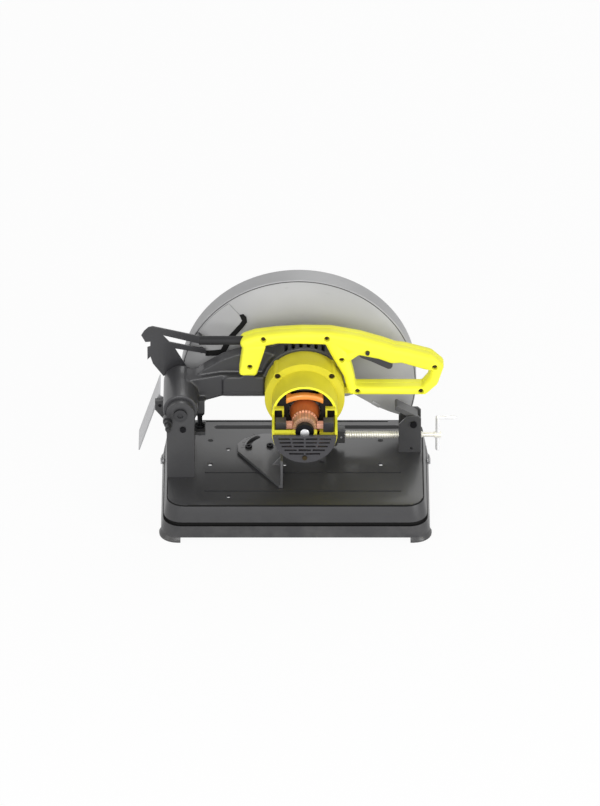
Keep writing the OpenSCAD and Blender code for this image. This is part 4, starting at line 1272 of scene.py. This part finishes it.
@dataclass
class Motor:
    """Cut-open motor with its windings, commutator and brushes.

    Attributes:
        cut_y: y of the upright face where the housing is cut.
        cut_layer: thickness of the painted highlight on the cut faces.
        cap_z: lowest and highest z of the ledge where the end cap meets the housing.
        coils: how the field coils' bundles are softened.
        rib: x and z of an inner rib's corners, from the motor's axis.
        rib_reach: how far the ribs stand out from the cut.
        rib_foot: depth of their feet in the cut.
        shaft_y: y of the shaft's end.
        collar: distance from the shaft's end and radius of the collar's points.
        collar_sides: sides of the collar.
    """

    cut_y: float = -0.076
    cut_layer: float = 0.00012
    cap_z: tuple[float, float] = (0.1815, 0.1865)
    coils: Recast = Recast(0.0009, 60, 0.5)
    rib: Profile = ((0.0335, -0.004), (0.0365, -0.004), (0.0365, 0.014), (0.0492, 0.014),
                    (0.0492, 0.0165), (0.0335, 0.0165))
    rib_reach: float = 0.010
    rib_foot: float = 0.0002
    shaft_y: float = -0.1334
    collar: Profile = ((0.0, 0.005), (0.0, 0.0066), (0.0006, 0.0072), (0.0018, 0.0072),
                       (0.0022, 0.0066), (0.0022, 0.005))
    collar_sides: int = 48

    def build(self, shop: Workshop) -> None:
        """Dresses the motor and adds cut edges, inner ribs and the shaft's collar.

        Args:
            shop: makes and places the pieces.
        """
        case = shop.merged("motor_housing")
        # Painted highlight: a thin layer of the lighter yellow on the faces where the housing is
        # cut open.
        edge = lining(case, self.on_cut, self.cut_layer)
        shop.settle(edge, "housing_cut_edge", "head", YELLOW)
        sharp = sharp_edges(case.data, LONG)
        rounded(case, Ease.LIGHT.value, {i for i in sharp if self.clear_of_cap(case.data, i)})
        # Painted shade: the housing gets the darker copy of the yellow plastic.
        shop.stand_in(case, "motor_housing", SHADED_YELLOW)
        flattened(case)
        shop.settle(self.inner_ribs(), "housing_inner_ribs", "head", SHADED_YELLOW)
        collar = tuple((self.shaft_y + run, radius) for run, radius in self.collar)
        shop.settle(turned(collar, Along.Y, MOTOR, self.collar_sides),
                    "armature_shaft_collar", "armature", SHAFT)
        shop.nodes(GREY, ["end_cap"], Ease.FILED, LONG)
        shop.nodes(GREY, ["brush_holders"], Ease.SOFT)
        shop.nodes(BLACK, ["fan"], Ease.NONE)
        shop.nodes(BRONZED, ["motor_screws"])
        shop.nodes(BLACKED, ["armature_bearings"])
        shop.nodes(VARNISHED, ["stator_core"], Ease.NONE)
        shop.nodes(IRON, ["armature_core", "pinion"], Ease.NONE)
        shop.cast("field_coils", self.coils, COIL)
        shop.nodes(WINDING, ["armature_windings"], Ease.NONE)
        shop.nodes(BARS, ["commutator"], Ease.FINE)
        shop.nodes(BRUSH, ["brushes"], Ease.SOFT)
        shop.nodes(SHAFT, ["armature_shaft"], Ease.LIGHT)

    def clear_of_cap(self, mesh: bpy.types.Mesh, number: int) -> bool:
        """True for an edge of the housing, by its number, that doesn't meet the end cap."""
        heights = [mesh.vertices[i].co.z for i in mesh.edges[number].vertices]
        return max(heights) < self.cap_z[0] or min(heights) > self.cap_z[1]

    def on_cut(self, corners: list[Vector], normal: Vector) -> bool:
        """Says whether a face is one where the housing is cut open.

        Args:
            corners: the face's corners.
            normal: its normal.

        Returns:
            True on the cut.
        """
        level = all(abs(corner.z - MOTOR.z) < LEVEL for corner in corners)
        upright = all(abs(corner.y - self.cut_y) < LEVEL for corner in corners)
        return (normal.z > SQUARE and level) or (normal.y < -SQUARE and upright)

    def inner_ribs(self) -> bpy.types.Object:
        """Makes the two angled ribs beside the brush gear, which stand on the cut.

        Returns:
            Both ribs as one object.
        """
        parts = []
        front = self.cut_y - self.rib_reach
        for side in (-1, 1):
            rib = outline([MOTOR + Vector((side * x, front, z)) for x, z in self.rib], filled=True)
            length = (0, self.rib_reach + self.rib_foot, 0)
            with editing(rib):
                bpy.ops.mesh.extrude_region_move(TRANSFORM_OT_translate={"value": length})
                bpy.ops.mesh.select_all(action="SELECT")
                bpy.ops.mesh.normals_make_consistent(inside=False)
                bpy.ops.mesh.bevel(offset=Ease.LIGHT.value, segments=2, affect="EDGES")
            parts.append(rib)
        return joined(parts)


@dataclass
class Handle:
    """Two-part D handle with trigger, lock button and cord sleeve.

    Attributes:
        halves: CAD nodes of its two halves.
        moulding: how their corners are softened.
    """

    halves: tuple[str, str] = ("handle_near", "handle_far")
    moulding: Recast = Recast(0.0011, 5, 0.3)

    def build(self, shop: Workshop) -> None:
        """Dresses the handle.

        Args:
            shop: makes and places the pieces.
        """
        for half in self.halves:
            shop.cast(half, self.moulding, YELLOW)
        shop.nodes(BRONZED, ["handle_screws"])
        shop.nodes(BLACK, ["switch_box", "lock_button"])
        shop.nodes(GREY, ["trigger"], Ease.SOFT, LONG)
        shop.nodes(RUBBER, ["cord_sleeve"])


@dataclass(frozen=True)
class Lamp:
    """One large soft lamp.

    Attributes:
        name: the lamp's name.
        place: where it stands.
        size: side of its square face.
        power: watts.
    """

    name: str
    place: Triple
    size: float
    power: float


@dataclass
class Studio:
    """Camera at the photograph's angle, pale floor and soft light.

    Attributes:
        elevation: the camera's angle above the floor, degrees.
        distance: the camera's distance from its aim.
        sensor: size of the camera's sensor, millimetres.
        frame_h: height of the picture at the saw, 806 pixels at 610 a metre.
        aim: what the camera and the lamps point at.
        far: how far the camera sees.
        floor_size: side of the floor.
        floor_z: height of the floor, just under the feet.
        floor_pale: colour of the floor that lights the saw from below.
        floor_white: share of plain white in the floor as it is seen.
        sky: strength of the sky's light.
        lamps: the soft lamps, of which the front one is the strongest.
    """

    elevation: float = 31.79
    distance: float = 15.0
    sensor: float = 36.0
    frame_h: float = 806 / 610
    aim: Vector = field(default_factory=lambda: Vector((0.0074, 0.0801, 0.1293)))
    far: float = 100.0
    floor_size: float = 60.0
    floor_z: float = -0.0005
    floor_pale: Rgba = (0.9, 0.9, 0.9, 1)
    floor_white: float = 0.93
    sky: float = 0.42
    lamps: tuple[Lamp, ...] = (Lamp("front_softbox", (-0.4, -2.9, 1.7), 1.8, 56.0),
                               Lamp("right_softbox", (2.4, -1.6, 0.7), 1.2, 32.0),
                               Lamp("left_softbox", (-2.7, -1.0, 1.0), 1.2, 7.0),
                               Lamp("rear_softbox", (0.6, 2.6, 2.2), 1.6, 18.0))

    def camera(self) -> None:
        """Makes the camera."""
        tilt = math.radians(self.elevation)
        back = Vector((0, -math.cos(tilt), math.sin(tilt)))
        bpy.ops.object.camera_add(location=self.aim + back * self.distance,
                                  rotation=(math.pi / 2 - tilt, 0, 0))
        camera = bpy.context.object
        camera.data.sensor_width = self.sensor
        camera.data.lens = self.sensor * self.distance / self.frame_h
        camera.data.clip_end = self.far
        bpy.context.scene.camera = camera

    def seen(self, g: Graph) -> Sock:
        """Finds the rays that show the backdrop itself.

        Args:
            g: graph of the floor or the world.

        Returns:
            One for such rays, else zero.
        """
        direct = g.node("ShaderNodeLightPath", out="Is Camera Ray")
        glossy = g.node("ShaderNodeLightPath", out="Is Glossy Ray")
        through = g.node("ShaderNodeLightPath", out="Is Transmission Ray")
        return direct.most(glossy).most(through)

    def floor(self) -> None:
        """Makes the pale floor, which shows as white and keeps the saw's shadow."""
        bpy.ops.object.select_all(action="DESELECT")
        bpy.ops.mesh.primitive_plane_add(size=self.floor_size, location=(0, 0, self.floor_z))
        floor = bpy.context.object
        floor.name = "pale_floor"
        g = Graph(bpy.data.materials.new("pale_floor"))
        pale = g.node("ShaderNodeBsdfDiffuse", {}, {"Color": self.floor_pale})
        white = g.node("ShaderNodeEmission", {}, {"Color": WHITE, "Strength": 1.0})
        both = g.node("ShaderNodeMixShader", {},
                      {0: self.seen(g) * self.floor_white, 1: pale, 2: white})
        g.node("ShaderNodeOutputMaterial", {}, {"Surface": both})
        floor.data.materials.append(g.owner)

    def world(self) -> None:
        """Makes an even sky that shows as white."""
        world = bpy.data.worlds.new("studio")
        bpy.context.scene.world = world
        g = Graph(world)
        strength = self.sky + self.seen(g) * (1.0 - self.sky)
        sky = g.node("ShaderNodeBackground", {}, {"Color": WHITE, "Strength": strength})
        g.node("ShaderNodeOutputWorld", {}, {"Surface": sky})

    def light(self) -> None:
        """Sets up the lamps, each aimed at the saw."""
        for lamp in self.lamps:
            bpy.ops.object.light_add(type="AREA", location=lamp.place)
            made = bpy.context.object
            made.name = lamp.name
            made.data.energy, made.data.size = lamp.power, lamp.size
            aim = self.aim - Vector(lamp.place)
            made.rotation_euler = aim.to_track_quat("-Z", "Y").to_euler()


def main() -> None:
    """Builds every sub-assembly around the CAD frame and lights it."""
    logging.basicConfig(level=logging.INFO, format="%(message)s")
    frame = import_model()
    studio = Studio()
    studio.camera()
    shop = Workshop(frame)
    for part in (Base(), FenceAndVise(), Head(), Motor(), Handle()):
        part.build(shop)
    studio.floor()
    studio.world()
    studio.light()
    bpy.context.scene.view_settings.view_transform = "Standard"


if __name__ == "__main__":
    main()
